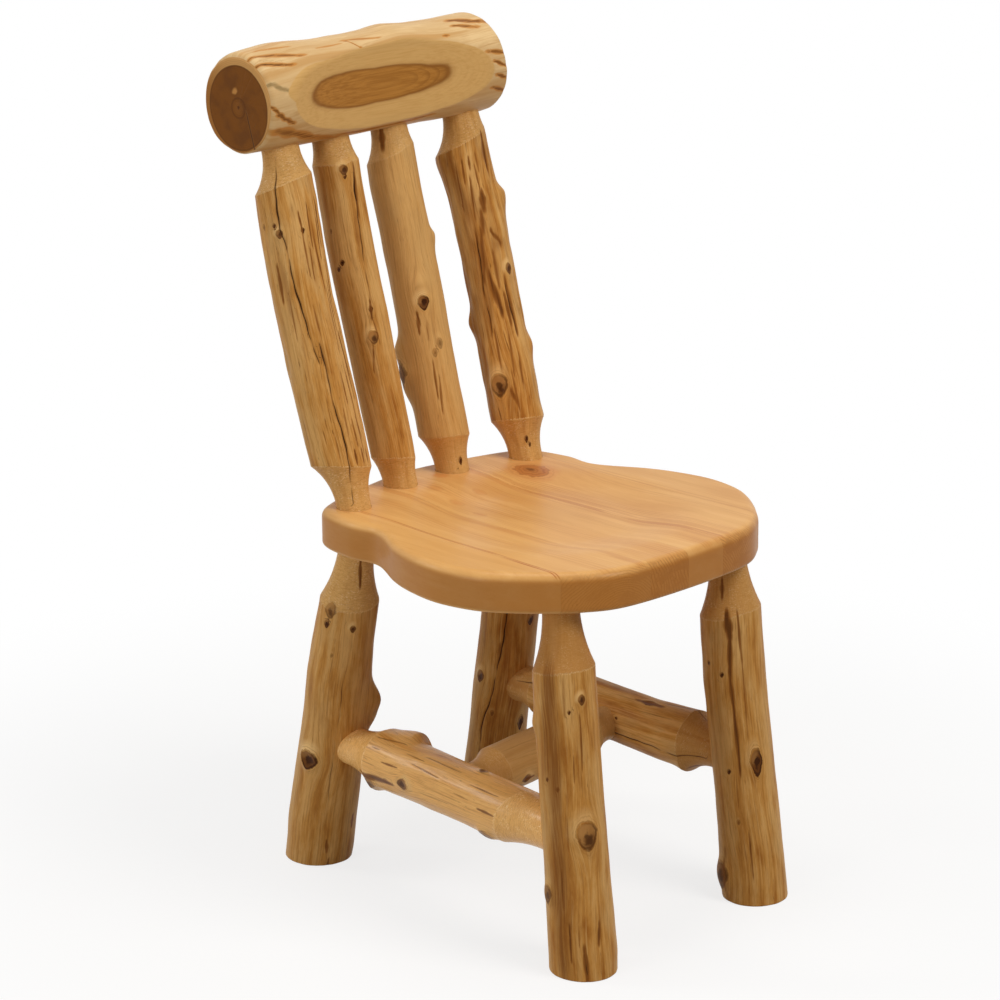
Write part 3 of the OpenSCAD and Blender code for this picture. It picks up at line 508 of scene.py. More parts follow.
class Wiring:
    """Adds nodes to one tree and joins them."""

    def __init__(self, tree):
        self.tree = tree

    def node(self, kind, feeds=None, **settings):
        made = self.tree.nodes.new(kind)
        for key, value in settings.items():
            setattr(made, key, value)
        for key, value in (feeds or {}).items():
            if isinstance(value, Signal):
                self.tree.links.new(value.socket, made.inputs[key])
            else:
                made.inputs[key].default_value = value
        return Outputs(self, made)

    def use(self, group, **feeds):
        return self.node("ShaderNodeGroup", feeds, node_tree=group)

    def math(self, operation, a, b=0.0):
        return self.node("ShaderNodeMath", {0: a, 1: b}, operation=operation)[0]

    def vector(self, operation, a, b=(0, 0, 0)):
        made = self.node("ShaderNodeVectorMath", {0: a, 1: b}, operation=operation)
        return made["Value" if operation == "LENGTH" else "Vector"]

    def join(self, *parts):
        """A vector of three parts, each a signal or a number."""
        if any(isinstance(part, Signal) for part in parts):
            return self.node("ShaderNodeCombineXYZ", dict(enumerate(parts)))[0]
        return parts

    def parts(self, value):
        made = self.node("ShaderNodeSeparateXYZ", {0: value})
        return made[0], made[1], made[2]

    def stretch(self, value, *scale):
        return self.vector("MULTIPLY", value, self.join(*scale))

    def length(self, x, y, z=0.0):
        return self.vector("LENGTH", self.join(x, y, z))

    def noise(self, where, scale=None, detail=2.0, rough=0.5, distort=0.0):
        at = self.stretch(where, *scale) if scale else where
        feeds = {"Vector": at, "Scale": 1.0, "Detail": detail, "Roughness": rough, "Distortion": distort}
        return self.node("ShaderNodeTexNoise", feeds)[0]

    def attribute(self, name, output="Fac"):
        return self.node("ShaderNodeAttribute", attribute_name=name)[output]

    def mix(self, share, a, b, way="MIX"):
        """Mix of two colours, each a signal, a screen tint of three numbers or a plain colour of four."""
        a, b = (tint(*c) if isinstance(c, tuple) and len(c) == 3 else c for c in (a, b))
        return self.node("ShaderNodeMix", {0: share, 6: a, 7: b}, data_type="RGBA", blend_type=way)[2]

    def paint(self, color, *coats):
        """Lays coats over a colour. Each is a mask, a colour and, where it isn't full, a strength."""
        for share, other, *strength in coats:
            color = self.mix(share * strength[0] if strength else share, color, other)
        return color


def open_tree(name, kind, inputs):
    """A new tree with named inputs: a number is a value's default, None a vector, a word another kind."""
    tree = bpy.data.node_groups.new(name, kind)
    for label, value in inputs.items():
        sort = value if isinstance(value, str) else "Vector" if value is None else "Float"
        socket = tree.interface.new_socket(label, in_out="INPUT", socket_type="NodeSocket" + sort)
        if sort == "Float":
            socket.default_value = value
    w = Wiring(tree)
    return w, w.node("NodeGroupInput")


def close_tree(w, results, kind="Float"):
    for label in results:
        w.tree.interface.new_socket(label, in_out="OUTPUT", socket_type="NodeSocket" + kind)
    w.node("NodeGroupOutput", results)
    return w.tree


def shader_group(name, **inputs):
    """Turns a function that wires a few nodes and returns its results into a shader node group."""
    def make(wire):
        w, given = open_tree(name, "ShaderNodeTree", inputs)
        return close_tree(w, wire(w, given))
    return make


# Shared shader groups

@shader_group("wood_fibre", Grain=None, Along=1.0)
def fibre_group(w, given):
    """Soft patches, lengthwise bands, fibres, hairlines, pointed dark lines and short ticks in the wood."""
    def layer(shift, wide, long, detail, rough=0.5):
        moved = w.vector("ADD", given["Grain"], shift)
        return w.noise(moved, (wide, wide, given["Along"] * long), detail, rough)

    line = layer((31, 7, 90), 0.42, 0.024, 2).step(0.62, 0.72)
    return {"Mottle": layer((91, -17, 40), 0.06, 0.016, 4, 0.6),
            "Band": layer((0, 0, 0), 0.085, 0.004, 1.5),
            "Fibre": layer((5, 70, -20), 0.5, 0.014, 4, 0.6),
            "Hair": layer((13, 29, -77), 1.7, 0.08, 2, 0.6),
            "Line": line * layer((-44, 60, 300), 0.035, 0.009, 1).step(0.42, 0.6),
            "Dash": layer((-57, 3, 12), 0.8, 0.085, 1.5).step(0.69, 0.76)}


@shader_group("knot_figure", Place=None, Grain=None, Drop=0.0)
def knot_group(w, given):
    """A knot's body, heart, growth rings, dark rim and pale surround, and which way its sides face to lead
    painted highlight to the upper left and painted shade to the lower right.
    """
    u, v, shown = w.parts(given["Place"])
    ragged = w.noise(given["Grain"], (0.16, 0.16, 0.16)) - 0.5
    length = w.length(u * (1 + w.math("MAXIMUM", v * -0.5, 0)), v)
    away = length + ragged * 0.5
    side = (u * 0.6 - v * 0.8) / w.math("MAXIMUM", length, 0.3)
    heart = w.length(u - 0.1, v + given["Drop"] * 0.4)
    rings = w.math("SINE", away * 24)
    return {"Core": away.step(1.02, 0.84) * shown,
            "Eye": (heart + ragged).step(0.64, 0.26) * shown,
            "Ring": rings.step(0.3, 0.95) * away.step(1.9, 1) * shown,
            # the dark rim is painted stronger on the shaded lower right
            "Rim": away.step(0.76, 0.92) * away.step(1.2, 1) * shown * side.step(-1.3, 0.5),
            "Halo": away.step(0.98, 1.2) * away.step(2.4, 1.2) * shown,
            "Side": side}


@shader_group("growth_rings", Distance=0.0, Where=None, Spacing=3.0, Wobble=1.0)
def ring_group(w, given):
    """The dark late wood of each growth ring."""
    wobble = w.noise(given["Where"], (0.03, 0.03, 0.004), 3)
    phase = w.math("FRACT", given["Distance"] / given["Spacing"] + wobble * given["Wobble"])
    return {"Late": phase.step(0.45, 0.9) * phase.step(1, 0.94)}


@shader_group("drying_check", Check=None)
def check_group(w, given):
    """A drying check's opening, painted dark for the shade inside it, and its stained lips."""
    offset, half, _ = w.parts(given["Check"])
    outside, there = abs(offset) - half, half.step(0.02, 0.2)
    return {"Crack_Shade": outside.step(0.35, -0.1) * there, "Edge": outside.step(2.2, 0.2) * there}


@shader_group("tool_marks", Place=None)
def tool_group(w, given):
    """Ridges across the tool-cut wood, torn fuzz, and pale flecks that are painted glints of light on the cut.
    """
    place = given["Place"]
    glint = w.noise(place, (0.4, 0.4, 1), 2, distort=0.8).step(0.57, 0.64)
    return {"Hatch": w.noise(place, (0.16, 0.16, 1.5), 3, 0.6, 0.6),
            "Fuzz": w.noise(place, (0.9, 0.9, 0.5), 4, 0.7),
            "Glint": glint * w.noise(place, (0.07, 0.07, 0.07), 1).step(0.42, 0.58)}


@shader_group("board_spot", Where=None, Middle=None, Half=10.0, Long=1.3)
def spot_group(w, given):
    """An oval spot on a board: its mask, its rim, and how far it pushes the grain lines aside."""
    x, y, _ = w.parts(w.vector("SUBTRACT", given["Where"], given["Middle"]))
    ragged = w.noise(given["Where"], (0.09, 0.09, 0.09), 3)
    away = w.length(x / given["Half"], y / (given["Half"] * given["Long"])) + (ragged - 0.5) * 0.7
    return {"Away": away, "Spot": away.step(1, 0.5), "Rim": away.step(0.7, 0.95) * away.step(1.25, 1),
            "Push": x * w.math("EXPONENT", away * away * -0.3)}


@shader_group("mortise_gap_shadow", Where=None)
def mortise_shadow_group(w, given):
    """Painted shadow in the gap round the foot of each spindle."""
    x, y, _ = w.parts(given["Where"])
    shadow = 0.0
    for foot_x, foot_y in SPINDLE_FEET:
        shadow = w.math("MAXIMUM", shadow, w.length(x - foot_x, y - foot_y).step(21, 19.8))
    return {"Shadow": shadow}


# Materials

def new_material(name):
    material = bpy.data.materials.new(name)
    material.use_nodes = True
    material.node_tree.nodes.clear()
    return material, Wiring(material.node_tree)


def finish_surface(w, color, roughness, height, bump, reach, **more):
    relief = w.node("ShaderNodeBump", {"Strength": bump, "Distance": reach, "Height": height})[0]
    feeds = {"Base Color": color, "Roughness": roughness, "Normal": relief, **more}
    w.node("ShaderNodeOutputMaterial", {"Surface": w.node("ShaderNodeBsdfPrincipled", feeds)[0]})


def lacquered(w, color, roughness, height, coat=0.05, bump=0.35, reach=0.0006, satin=0.28):
    """Satin clear coat over the wood."""
    finish_surface(w, color, roughness, height, bump, reach, **{
        "Coat Weight": coat, "Coat Roughness": satin,
        "Specular IOR Level": 0.08, "Specular Tint": (1.0, 0.82, 0.58, 1.0)})


def peeled_log_material(name, tone=0.5, streak=0.8, grey=0.3, fresh=0.7, coat=0.03, pale_and_lit=1.0, aged=0.0,
                        pale=0.0):
    """Honey-brown peeled skin, paler tool-cut shoulders, knots, checks and stains, with painted light: glints
    on the shoulders, highlight and shade on the knots, and shade in recesses, checks and round screw heads.
    """
    material, w = new_material(name)
    grain, place = w.attribute("grain", "Vector"), w.attribute("place", "Vector")
    fibre, tool = w.use(fibre_group, Grain=grain), w.use(tool_group, Place=place)
    # skin
    level = (fibre["Band"] + fibre["Mottle"]) * 0.5 + (tone - 0.5) * 0.3
    drift = w.noise(w.vector("ADD", grain, (200, 0, 50)), (0.03, 0.03, 0.01), 3)
    color = w.paint(
        (200, 142, 70),
        (level.step(0.47, 0.62), (217, 167, 100)),
        (level.step(0.5, 0.38), (170, 109, 44)),
        (level.step(0.41, 0.3), (142, 84, 30), 0.8),
        (fibre["Fibre"].step(0.5, 0.72), (238, 194, 126), 0.4),
        (fibre["Fibre"].step(0.5, 0.3), (142, 88, 36), 0.42),
        (fibre["Hair"].step(0.45, 0.72), (140, 84, 34), 0.28),
        (drift.step(0.48, 0.68), (192, 154, 100), grey),
        (pale, (208, 162, 102)),
        (fibre["Line"], (122, 72, 26), 0.6 * streak),
        (fibre["Dash"], (92, 50, 20), 0.5 * streak),
        # painted shade: the deeper the furrows, gouges, checks and screw dimples, the darker
        (w.attribute("relief").step(-0.5, -1.8), (134, 80, 32), 0.5))
    # tool-cut wood
    cut_wood = w.paint(
        (222, 174, 106),
        (tool["Hatch"].step(0.42, 0.66), (188, 134, 72), 0.65),
        (level.step(0.52, 0.36), (190, 134, 70), 0.5),
        (tool["Fuzz"].step(0.52, 0.72), (166, 112, 54), 0.45),
        (aged, (174, 114, 52)),
        # painted glints: pale specks standing in for the sparkle of the cut
        (tool["Glint"], (250, 220, 172), 0.6 * (1 - aged)))
    cut = w.attribute("cut") + (tool["Fuzz"] - 0.5) * 0.7 + (fibre["Fibre"] - 0.5) * 2
    cut_mask = cut.step(-0.15, 0.45)
    torn = cut.step(-0.5, 0) * cut.step(0.8, 0.15) * tool["Fuzz"].step(0.42, 0.6)
    color = w.paint(color, (cut_mask, cut_wood, fresh), (torn, (244, 208, 152), 0.65 * fresh))
    # brightens the whole log: paler wood, and partly painted light making up for the seat's shade on it
    color = w.mix(1.0, color, (pale_and_lit, pale_and_lit * 0.99, pale_and_lit * 0.95, 1.0), way="MULTIPLY") if pale_and_lit != 1 else color
    # knots, with painted highlight on their upper left and painted shade on their lower right
    dark, halo, egg = w.parts(w.attribute("knot_look", "Vector"))
    knot = w.use(knot_group, Place=w.attribute("knot", "Vector"), Grain=place, Drop=egg)
    side, ringed = knot["Side"], knot["Halo"] * halo
    body = w.paint(
        w.mix(egg, (108, 62, 24), (194, 140, 78)),
        # painted highlight on the body's upper left and painted shade on its lower right
        (side.step(-0.1, -0.9), (216, 160, 94), 0.3),
        (side.step(0.1, 0.9), (86, 46, 18), 0.6))
    color = w.paint(
        color,
        (ringed, (228, 178, 104), 0.25),
        # painted highlight on the halo's upper left
        (ringed * side.step(0.1, -0.9), (246, 208, 146), 0.42),
        (knot["Ring"] * dark, (136, 80, 32), 0.4),
        (knot["Core"] * w.math("MINIMUM", dark, 0.95), body),
        (knot["Eye"] * dark, (64, 32, 12), 0.85),
        (knot["Rim"] * dark, (72, 38, 14), 0.85))
    # stains with painted shadow round the screw heads, checks with painted shade in their openings, and the
    # sawn end
    stain_and_shade = w.attribute("stain_and_shade") * (0.05 + fibre["Fibre"] * 1.8)
    check = w.use(check_group, Check=w.attribute("check", "Vector"))
    across, back, _ = w.parts(place)
    rings = w.use(ring_group, Distance=w.length(across, back), Where=place, Spacing=2.4)
    color = w.paint(
        color,
        (stain_and_shade.step(0.2, 0.65), (134, 80, 30), 0.9),
        (stain_and_shade.step(0.6, 0.95), (84, 46, 18), 0.7),
        (check["Edge"], (132, 82, 34), 0.35),
        # painted shade inside each check's opening
        (check["Crack_Shade"], (45, 25, 12), 0.9),
        (w.attribute("end").step(0.3, 0.7), w.mix(rings["Late"], (210, 160, 96), (158, 104, 48))))
    height = fibre["Fibre"] * 0.9 - fibre["Dash"] * 0.5 + fibre["Hair"] * 0.3
    height = height + (tool["Hatch"] * 0.7 + tool["Fuzz"] * 0.5) * cut_mask
    height = height - check["Crack_Shade"] * 1.5 - knot["Core"] * tool["Fuzz"]
    lacquered(w, color, 0.4 + fibre["Fibre"] * 0.16, height, coat=coat, bump=0.5, satin=0.24)
    return material


def rail_material(name):
    """Pale sapwood, dark heartwood and rings cut through by the hollow and the sawn ends."""
    material, w = new_material(name)
    place = w.attribute("place", "Vector")
    down, back, along = w.parts(place)
    fibre = w.use(fibre_group, Grain=w.attribute("grain", "Vector"), Along=0.7)
    # bark-side skin
    broken = 0.3 + fibre["Fibre"] * 1.3
    # the stain mask also holds painted shadow rings round the screw heads
    bark = w.attribute("stain_and_shade") * broken
    skin = w.paint(
        (216, 180, 128),
        (fibre["Band"].step(0.5, 0.34), (198, 152, 94), 0.8),
        (fibre["Mottle"].step(0.5, 0.66), (236, 204, 152), 0.55),
        (fibre["Mottle"].step(0.46, 0.32), (204, 158, 98), 0.5),
        (fibre["Fibre"].step(0.52, 0.32), (196, 146, 86), 0.35),
        (fibre["Line"], (168, 114, 56), 0.35),
        ((w.attribute("grey") * broken).step(0.35, 0.95), (146, 120, 76), 0.85),
        (bark.step(0.2, 0.5), (196, 132, 62), 0.85),
        (bark.step(0.52, 0.88), (128, 78, 30), 0.9))
    # planed sapwood and heartwood
    pith = w.attribute("pith")
    heart = w.attribute("heart") + (w.noise(place, (0.02, 0.02, 0.012), 3) - 0.5) * 2
    late = w.use(ring_group, Distance=pith, Where=place, Spacing=1.9)["Late"]
    nested = late * (0.25 + along.step(205, 265) * 0.75)
    fine = w.noise(place, (0.5, 0.5, 0.012), 4, 0.6)
    sap = w.paint(
        (214, 170, 106),
        (fine.step(0.4, 0.7), (200, 153, 88), 0.6),
        (nested, (190, 142, 82), 0.14),
        (heart.step(24, 15) * heart.step(8, 15), (196, 160, 106), 0.18),
        (heart.step(2.2, 0.2), (182, 134, 76), 0.35))
    core = w.paint(
        (184, 127, 58),
        (fine.step(0.35, 0.66), (164, 109, 46)),
        (nested, (140, 90, 38), 0.5),
        (heart.step(-1.9, -0.3), (128, 80, 34), 0.75))
    # sawn ends
    end_sap = w.paint(
        (214, 162, 98),
        ((down + back).step(-40, 50), (168, 112, 54)),
        (late, (146, 94, 46), 0.3))
    end_core = w.paint(
        (130, 78, 26),
        (late, (102, 59, 18), 0.5),
        (w.noise(place, (0.04, 0.04, 0.01), 3).step(0.42, 0.66), (112, 66, 24)),
        (pith.step(13, 11.5) * pith.step(9, 11), (88, 50, 18), 0.5),
        (pith.step(8, 6.5), (142, 90, 38), 0.35),
        (pith.step(3.2, 2), (78, 42, 16), 0.8),
        (w.attribute("pale").step(0.35, 0.75), (196, 138, 74)),
        (heart.step(-2.4, -0.6), (92, 54, 20), 0.6))
    cut = w.attribute("cut") + (fibre["Fibre"] - 0.5) * 2.2
    check = w.use(check_group, Check=w.attribute("check", "Vector"))
    color = w.paint(
        skin,
        (cut.step(-0.3, 0.7), w.mix(heart.step(0.7, -0.7), sap, core)),
        (w.attribute("end").step(0.35, 0.6), w.mix(heart.step(1, -0.8), end_sap, end_core)),
        (check["Edge"], (150, 98, 44), 0.35),
        # painted shade inside each check's opening
        (check["Crack_Shade"], (60, 34, 14), 0.9))
    height = fibre["Fibre"] * 0.5 - bark.step(0.3, 0.9) * 0.9 - check["Crack_Shade"] * 1.5
    lacquered(w, color, 0.42 + fine * 0.12, height)
    return material


def seat_material(name, pith, spacing, end_contrast, warm, seed, bundles=(), spots=(), knot=None):
    """Edge-glued softwood: rings about each board's own pith mark its ends, and fine lines run along
    its top."""
    material, w = new_material(name)
    mm = w.stretch(w.node("ShaderNodeTexCoord")["Object"], 1000, 1000, 1000)
    x, y, z = w.parts(mm)
    _, facing, upward = w.parts(w.node("ShaderNodeNewGeometry")["Normal"])
    sway = w.noise(w.join(x * 0.008, y * 0.005, seed)) - 0.5
    line_x = x + sway * 7
    if knot:
        eye = w.use(spot_group, Where=mm, Middle=(knot[0], knot[1] + SEAT_Y, 0), Half=19, Long=1.25)
        line_x = line_x - eye["Push"] * 0.8
    marks = []
    for spot_x, spot_y, half, long, red, ring in spots:
        mark = w.use(spot_group, Where=mm, Middle=(spot_x, spot_y + SEAT_Y, 0), Half=half, Long=long)
        line_x = line_x - mark["Push"] * 0.6
        marks += [(mark["Spot"], (204, 130, 66), red), (mark["Rim"], (188, 116, 56), ring)]
    # top
    grain = w.join(line_x + seed * 37, z + seed * 11, y + seed * 5)
    fibre = w.use(fibre_group, Grain=grain, Along=0.5)
    broad = w.noise(grain, (0.018, 0.018, 0.004))
    color = w.paint(
        (225, 172, 104),
        (broad.step(0.35, 0.65), (217 - 6 * warm, 161 - 9 * warm, 94 - 9 * warm)),
        (fibre["Mottle"].step(0.5, 0.68), (206, 147, 80), 0.3),
        (fibre["Mottle"].step(0.5, 0.34), (235, 187, 122), 0.35),
        (fibre["Fibre"].step(0.5, 0.7), (198, 136, 70), 0.22),
        (fibre["Hair"].step(0.52, 0.7), (196, 134, 70), 0.1),
        *marks)
    line = 0.0
    broken = w.noise(w.join(x * 0.2, y * 0.012, 3 + seed)).step(0.28, 0.5)
    for front, rear, half, gap, strength, soft in bundles:
        middle = front + y.step(SEAT_Y - 227, SEAT_Y + 225, eased=False) * (rear - front)
        off = line_x - middle
        phase = w.math("FRACT", off / gap + sway * 1.5)
        stripe = phase.step(0.25, 0.6) * phase.step(0.98, 0.7) * (1 - soft) + soft
        line = stripe * abs(off).step(half, 0.5 * half) * strength * broken + line
    color = w.mix(w.math("MINIMUM", line, 1.0) * upward.step(0.3, 0.8), color, (176, 98, 40))
    # sawn ends, and painted shade on the sides
    ripple = (w.noise(mm, (0.05, 0.01, 0.09), 3) - 0.5) * 7
    distance = w.length(x - pith[0] + sway * 18, z - pith[1]) + ripple
    rings = w.use(ring_group, Distance=distance, Where=mm, Spacing=spacing, Wobble=1.3)
    speck = w.noise(mm, (0.55, 0.2, 0.4), 3).step(0.6, 0.72)
    blotch = w.noise(mm, (0.05, 0.02, 0.07), 4, 0.6)
    sawn = w.paint(
        (202, 142, 72),
        (rings["Late"] * blotch.step(0.34, 0.56), (124, 73, 27), end_contrast),
        (blotch.step(0.54, 0.38), (150, 92, 38), 0.9 * end_contrast),
        (speck, (112, 64, 26), 0.7 * end_contrast))
    color = w.paint(
        color,
        (abs(facing).step(0.3, 0.8), sawn, 0.4 + 0.6 * end_contrast),
        # painted shade: every side face darker and browner
        (abs(upward).step(0.6, 0.1), (166, 94, 8), 0.56))
    if knot:
        size = eye["Away"]
        circle = w.math("SINE", size * 22).step(0.2, 0.9)
        color = w.paint(
            color,
            (size.step(1.9, 1.1), (206, 138, 76), 0.6),
            (size.step(1.1, 0.8), (178, 108, 52), 0.85),
            (circle * size.step(1.4, 0.9), (140, 74, 32), 0.4),
            (size.step(0.34, 0.14), (98, 52, 24), 0.75))
    # painted shadow round each spindle's foot, on the top faces only
    mortise = w.use(mortise_shadow_group, Where=mm)["Shadow"] * upward.step(0.2, 0.6)
    color = w.paint(color, (mortise, (120, 72, 34), 0.5))
    height = fibre["Fibre"] * 0.3 + fibre["Hair"] * 0.1
    lacquered(w, color, 0.4 + fibre["Fibre"] * 0.1, height, coat=0.2, bump=0.2, reach=0.0003)
    return material


def screw_material(name):
    material, w = new_material(name)
    where = w.node("ShaderNodeTexCoord")["Object"]
    grime = w.noise(where, (900, 900, 900), 4)
    scratch = w.noise(where, (400, 2600, 400), 3)
    color = w.mix(grime.step(0.4, 0.7), (92, 88, 84), (58, 54, 50))
    finish_surface(w, color, 0.34 + scratch * 0.2, scratch, 0.2, 0.0001, Metallic=grime.step(0.95, 0.2))
    return material


# Geometry Nodes trees

def named(w, label, kind="FLOAT"):
    return w.node("GeometryNodeInputNamedAttribute", {"Name": label}, data_type=kind)["Attribute"]


def dressed_tree(w, geometry, material):
    """Ends a geometry tree with real points in place of instances, and the material on them."""
    whole = w.node("GeometryNodeRealizeInstances", {"Geometry": geometry})[0]
    dressed = w.node("GeometryNodeSetMaterial", {"Geometry": whole, "Material": material})[0]
    return close_tree(w, {"Geometry": dressed}, "Geometry")


def turned_log_tree():
    """Takes a log's skin down to what the tenon cutters leave at each end, with chatter on the cut and
    fibre on the skin."""
    w, given = open_tree("turned_log", "GeometryNodeTree", {
        "Geometry": "Geometry", "Foot Tenon": 20.0, "Foot Start": 0.0, "Foot Sweep": 70.0,
        "Head Tenon": 20.0, "Head Start": 400.0, "Head Sweep": 70.0,
        "Chatter": 0.3, "Fibre": 0.3, "Seed": 0.0, "Wood": "Material"})

    def cutter(away, end):
        tenon, sweep = given[end + " Tenon"], given[end + " Sweep"]
        along = w.math("MINIMUM", w.math("MAXIMUM", away, 0), sweep)
        return tenon + sweep - w.math("SQRT", w.math("MAXIMUM", sweep * sweep - along * along, 0))

    x, y, s = w.parts(w.node("GeometryNodeInputPosition")[0])
    tool = w.math("MINIMUM", cutter(s - given["Foot Start"], "Foot"), cutter(given["Head Start"] - s, "Head"))
    skin = named(w, "skin")
    depth = skin - tool
    chatter_at = w.vector("ADD", w.stretch(w.join(x, y, s), 2.2, 2.2, 0.42), w.join(given["Seed"], 0, 0))
    chatter = (w.noise(chatter_at) - 0.5) * given["Chatter"]
    grain = w.stretch(named(w, "grain", "FLOAT_VECTOR"), 0.16, 0.16, 0.011)
    fibre = (w.noise(w.vector("ADD", grain, w.join(0, given["Seed"], 0)), detail=3) - 0.5) * given["Fibre"]
    radius = w.math("MINIMUM", skin + named(w, "relief"), tool)
    radius = radius + chatter * depth.step(0, 1.2) + fibre * depth.step(0, -1.2)
    place = w.join(x * radius, y * radius, s)
    shaped = w.node("GeometryNodeSetPosition", {"Geometry": given["Geometry"], "Position": place})[0]
    cut = w.math("MINIMUM", w.math("MAXIMUM", depth, -3), 3)
    moved = w.node("GeometryNodeInputPosition")[0]
    for label, kind, value in (("cut", "FLOAT", cut), ("place", "FLOAT_VECTOR", moved)):
        feeds = {"Geometry": shaped, "Name": label, "Value": value}
        shaped = w.node("GeometryNodeStoreNamedAttribute", feeds, data_type=kind, domain="POINT")[0]
    return dressed_tree(w, shaped, given["Wood"])


def screw_set_tree():
    """Sets a countersunk screw with a square socket on each point, along its aim and as long as its reach."""
    w, given = open_tree("screw_set", "GeometryNodeTree", {
        "Geometry": "Geometry", "Head Radius": 4.0, "Head Depth": 2.0, "Shank Radius": 2.0, "Socket": 1.1,
        "Socket Depth": 1.5, "Steel": "Material"})
    size = {"Size X": 1.0, "Size Y": 1.0, "Vertices X": 49, "Vertices Y": 45}
    grid = w.node("GeometryNodeMeshGrid", size)[0]
    across, down, _ = w.parts(w.node("GeometryNodeInputPosition")[0])
    turned, share = (across + 0.5) * -TAU, down + 0.5

    def rise(low, high):
        return share.step(low, high, eased=False)

    head_radius, shank_radius = given["Head Radius"], given["Shank Radius"]
    radius = head_radius * rise(0, 0.6) - (head_radius - shank_radius) * rise(0.7, 0.85)
    radius = radius - shank_radius * rise(0.93, 1)
    x, y = radius * w.math("COSINE", turned), radius * w.math("SINE", turned)
    square = w.math("MAXIMUM", abs(x), abs(y))
    pressed = square.step(given["Socket"], given["Socket"] - 0.2) * given["Socket Depth"]
    pressed = pressed * (1 - rise(0.6, 0.62))
    z = rise(0.62, 0.7) * -0.2 - given["Head Depth"] * rise(0.7, 0.85) - rise(0.85, 0.93) - pressed
    head = w.node("GeometryNodeSetPosition", {"Geometry": grid, "Position": w.join(x, y, z)})[0]
    head = w.node("GeometryNodeMergeByDistance", {"Geometry": head, "Distance": 0.001})[0]
    taper = {"Vertices": 24, "Radius Top": shank_radius * 0.6, "Radius Bottom": shank_radius * 0.97,
             "Depth": 1.0}
    shank = w.node("GeometryNodeMeshCone", taper)["Mesh"]
    shank = w.node("GeometryNodeTransform", {"Geometry": shank, "Rotation": (math.pi, 0, 0)})[0]
    spin = w.node("FunctionNodeEulerToRotation", {0: w.join(0, 0, named(w, "spin"))})[0]
    aimed = w.node("FunctionNodeAlignRotationToVector",
                   {"Rotation": spin, "Vector": named(w, "aim", "FLOAT_VECTOR")}, axis="Z")[0]
    both = w.node("GeometryNodeJoinGeometry")
    for shape, scale in ((head, (1, 1, 1)), (shank, w.join(1, 1, named(w, "reach")))):
        feeds = {"Points": given["Geometry"], "Instance": shape, "Rotation": aimed, "Scale": scale}
        placed = w.node("GeometryNodeInstanceOnPoints", feeds)[0]
        w.tree.links.new(placed.socket, both.node.inputs[0])
    return dressed_tree(w, both[0], given["Steel"])


def run_tree(tree, mesh, name, values):
    """Evaluates a tree on a mesh and returns the plain result."""
    carrier = add_object(name + "_stock", mesh)
    modifier = carrier.modifiers.new("made", "NODES")
    modifier.node_group = tree
    for item in tree.interface.items_tree:
        if item.item_type == "SOCKET" and item.in_out == "INPUT" and item.name in values:
            modifier[item.identifier] = values[item.name]
    bpy.context.view_layer.update()
    graph = bpy.context.evaluated_depsgraph_get()
    made = bpy.data.meshes.new_from_object(carrier.evaluated_get(graph), depsgraph=graph)
    made.name = name
    bpy.data.objects.remove(carrier)
    return made


# Mesh helpers

def add_object(name, data):
    made = bpy.data.objects.new(name, data)
    bpy.context.scene.collection.objects.link(made)
    return made


def store(mesh, **marks):
    """Keeps an array of numbers, or three as a vector, on a mesh's points under each name."""
    for name, value in marks.items():
        vector = isinstance(value, tuple)
        attribute = mesh.attributes.new(name, "FLOAT_VECTOR" if vector else "FLOAT", "POINT")
        data = np.stack([np.ravel(part) for part in value], 1) if vector else value
        attribute.data.foreach_set("vector" if vector else "value", np.asarray(data, np.float32).ravel())


def tube_mesh(name, points, rows, columns):
    """Quads between rings of points and a fan at each end, whose middles are the last two points."""
    j = np.arange(columns)
    k = (j + 1) % columns
    top = (rows - 1) * columns
    rings = [[a + j, a + k, a + columns + k, a + columns + j] for a in range(0, top, columns)]
    fans = [[0 * j + rows * columns, k, j], [0 * j + rows * columns + 1, top + j, top + k]]
    faces = [face for corners in rings + fans for face in np.stack(corners, 1).tolist()]
    mesh = bpy.data.meshes.new(name)
    mesh.from_pydata(points.tolist(), [], faces)
    return mesh


def make_piece(mesh, name, node, sharp):
    mesh.shade_smooth()
    mesh.set_sharp_from_angle(angle=math.radians(sharp))
    piece = add_object(name, mesh)
    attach(piece, "root")
    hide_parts(node)
    return piece


# Logs

GIRTH_POINTS = 184
SKIN_STEP = 1.55
FOOT_CUT_ROWS, HEAD_CUT_ROWS, TENON_ROWS = 34, 36, 5
FOOT_EASE = 1.6


def shoulder_line(log, theta, start, toward, sweep):
    """Station round the girth where the cutter leaves the skin."""
    steps = np.arange(0.0, min(sweep * 0.98, 130.0), 0.5)
    s = start + toward * steps[:, None] + 0 * theta
    clear = log.tool_radius(s) - log.skin_radius(theta + 0 * s, s)
    first = np.clip(np.argmax(clear > 0, axis=0), 1, len(steps) - 1)
    columns = np.arange(len(theta))
    before, after = clear[first - 1, columns], clear[first, columns]
    part = np.clip(-before / (after - before + 1e-9), 0, 1)
    return start + toward * (steps[first - 1] + 0.5 * part)


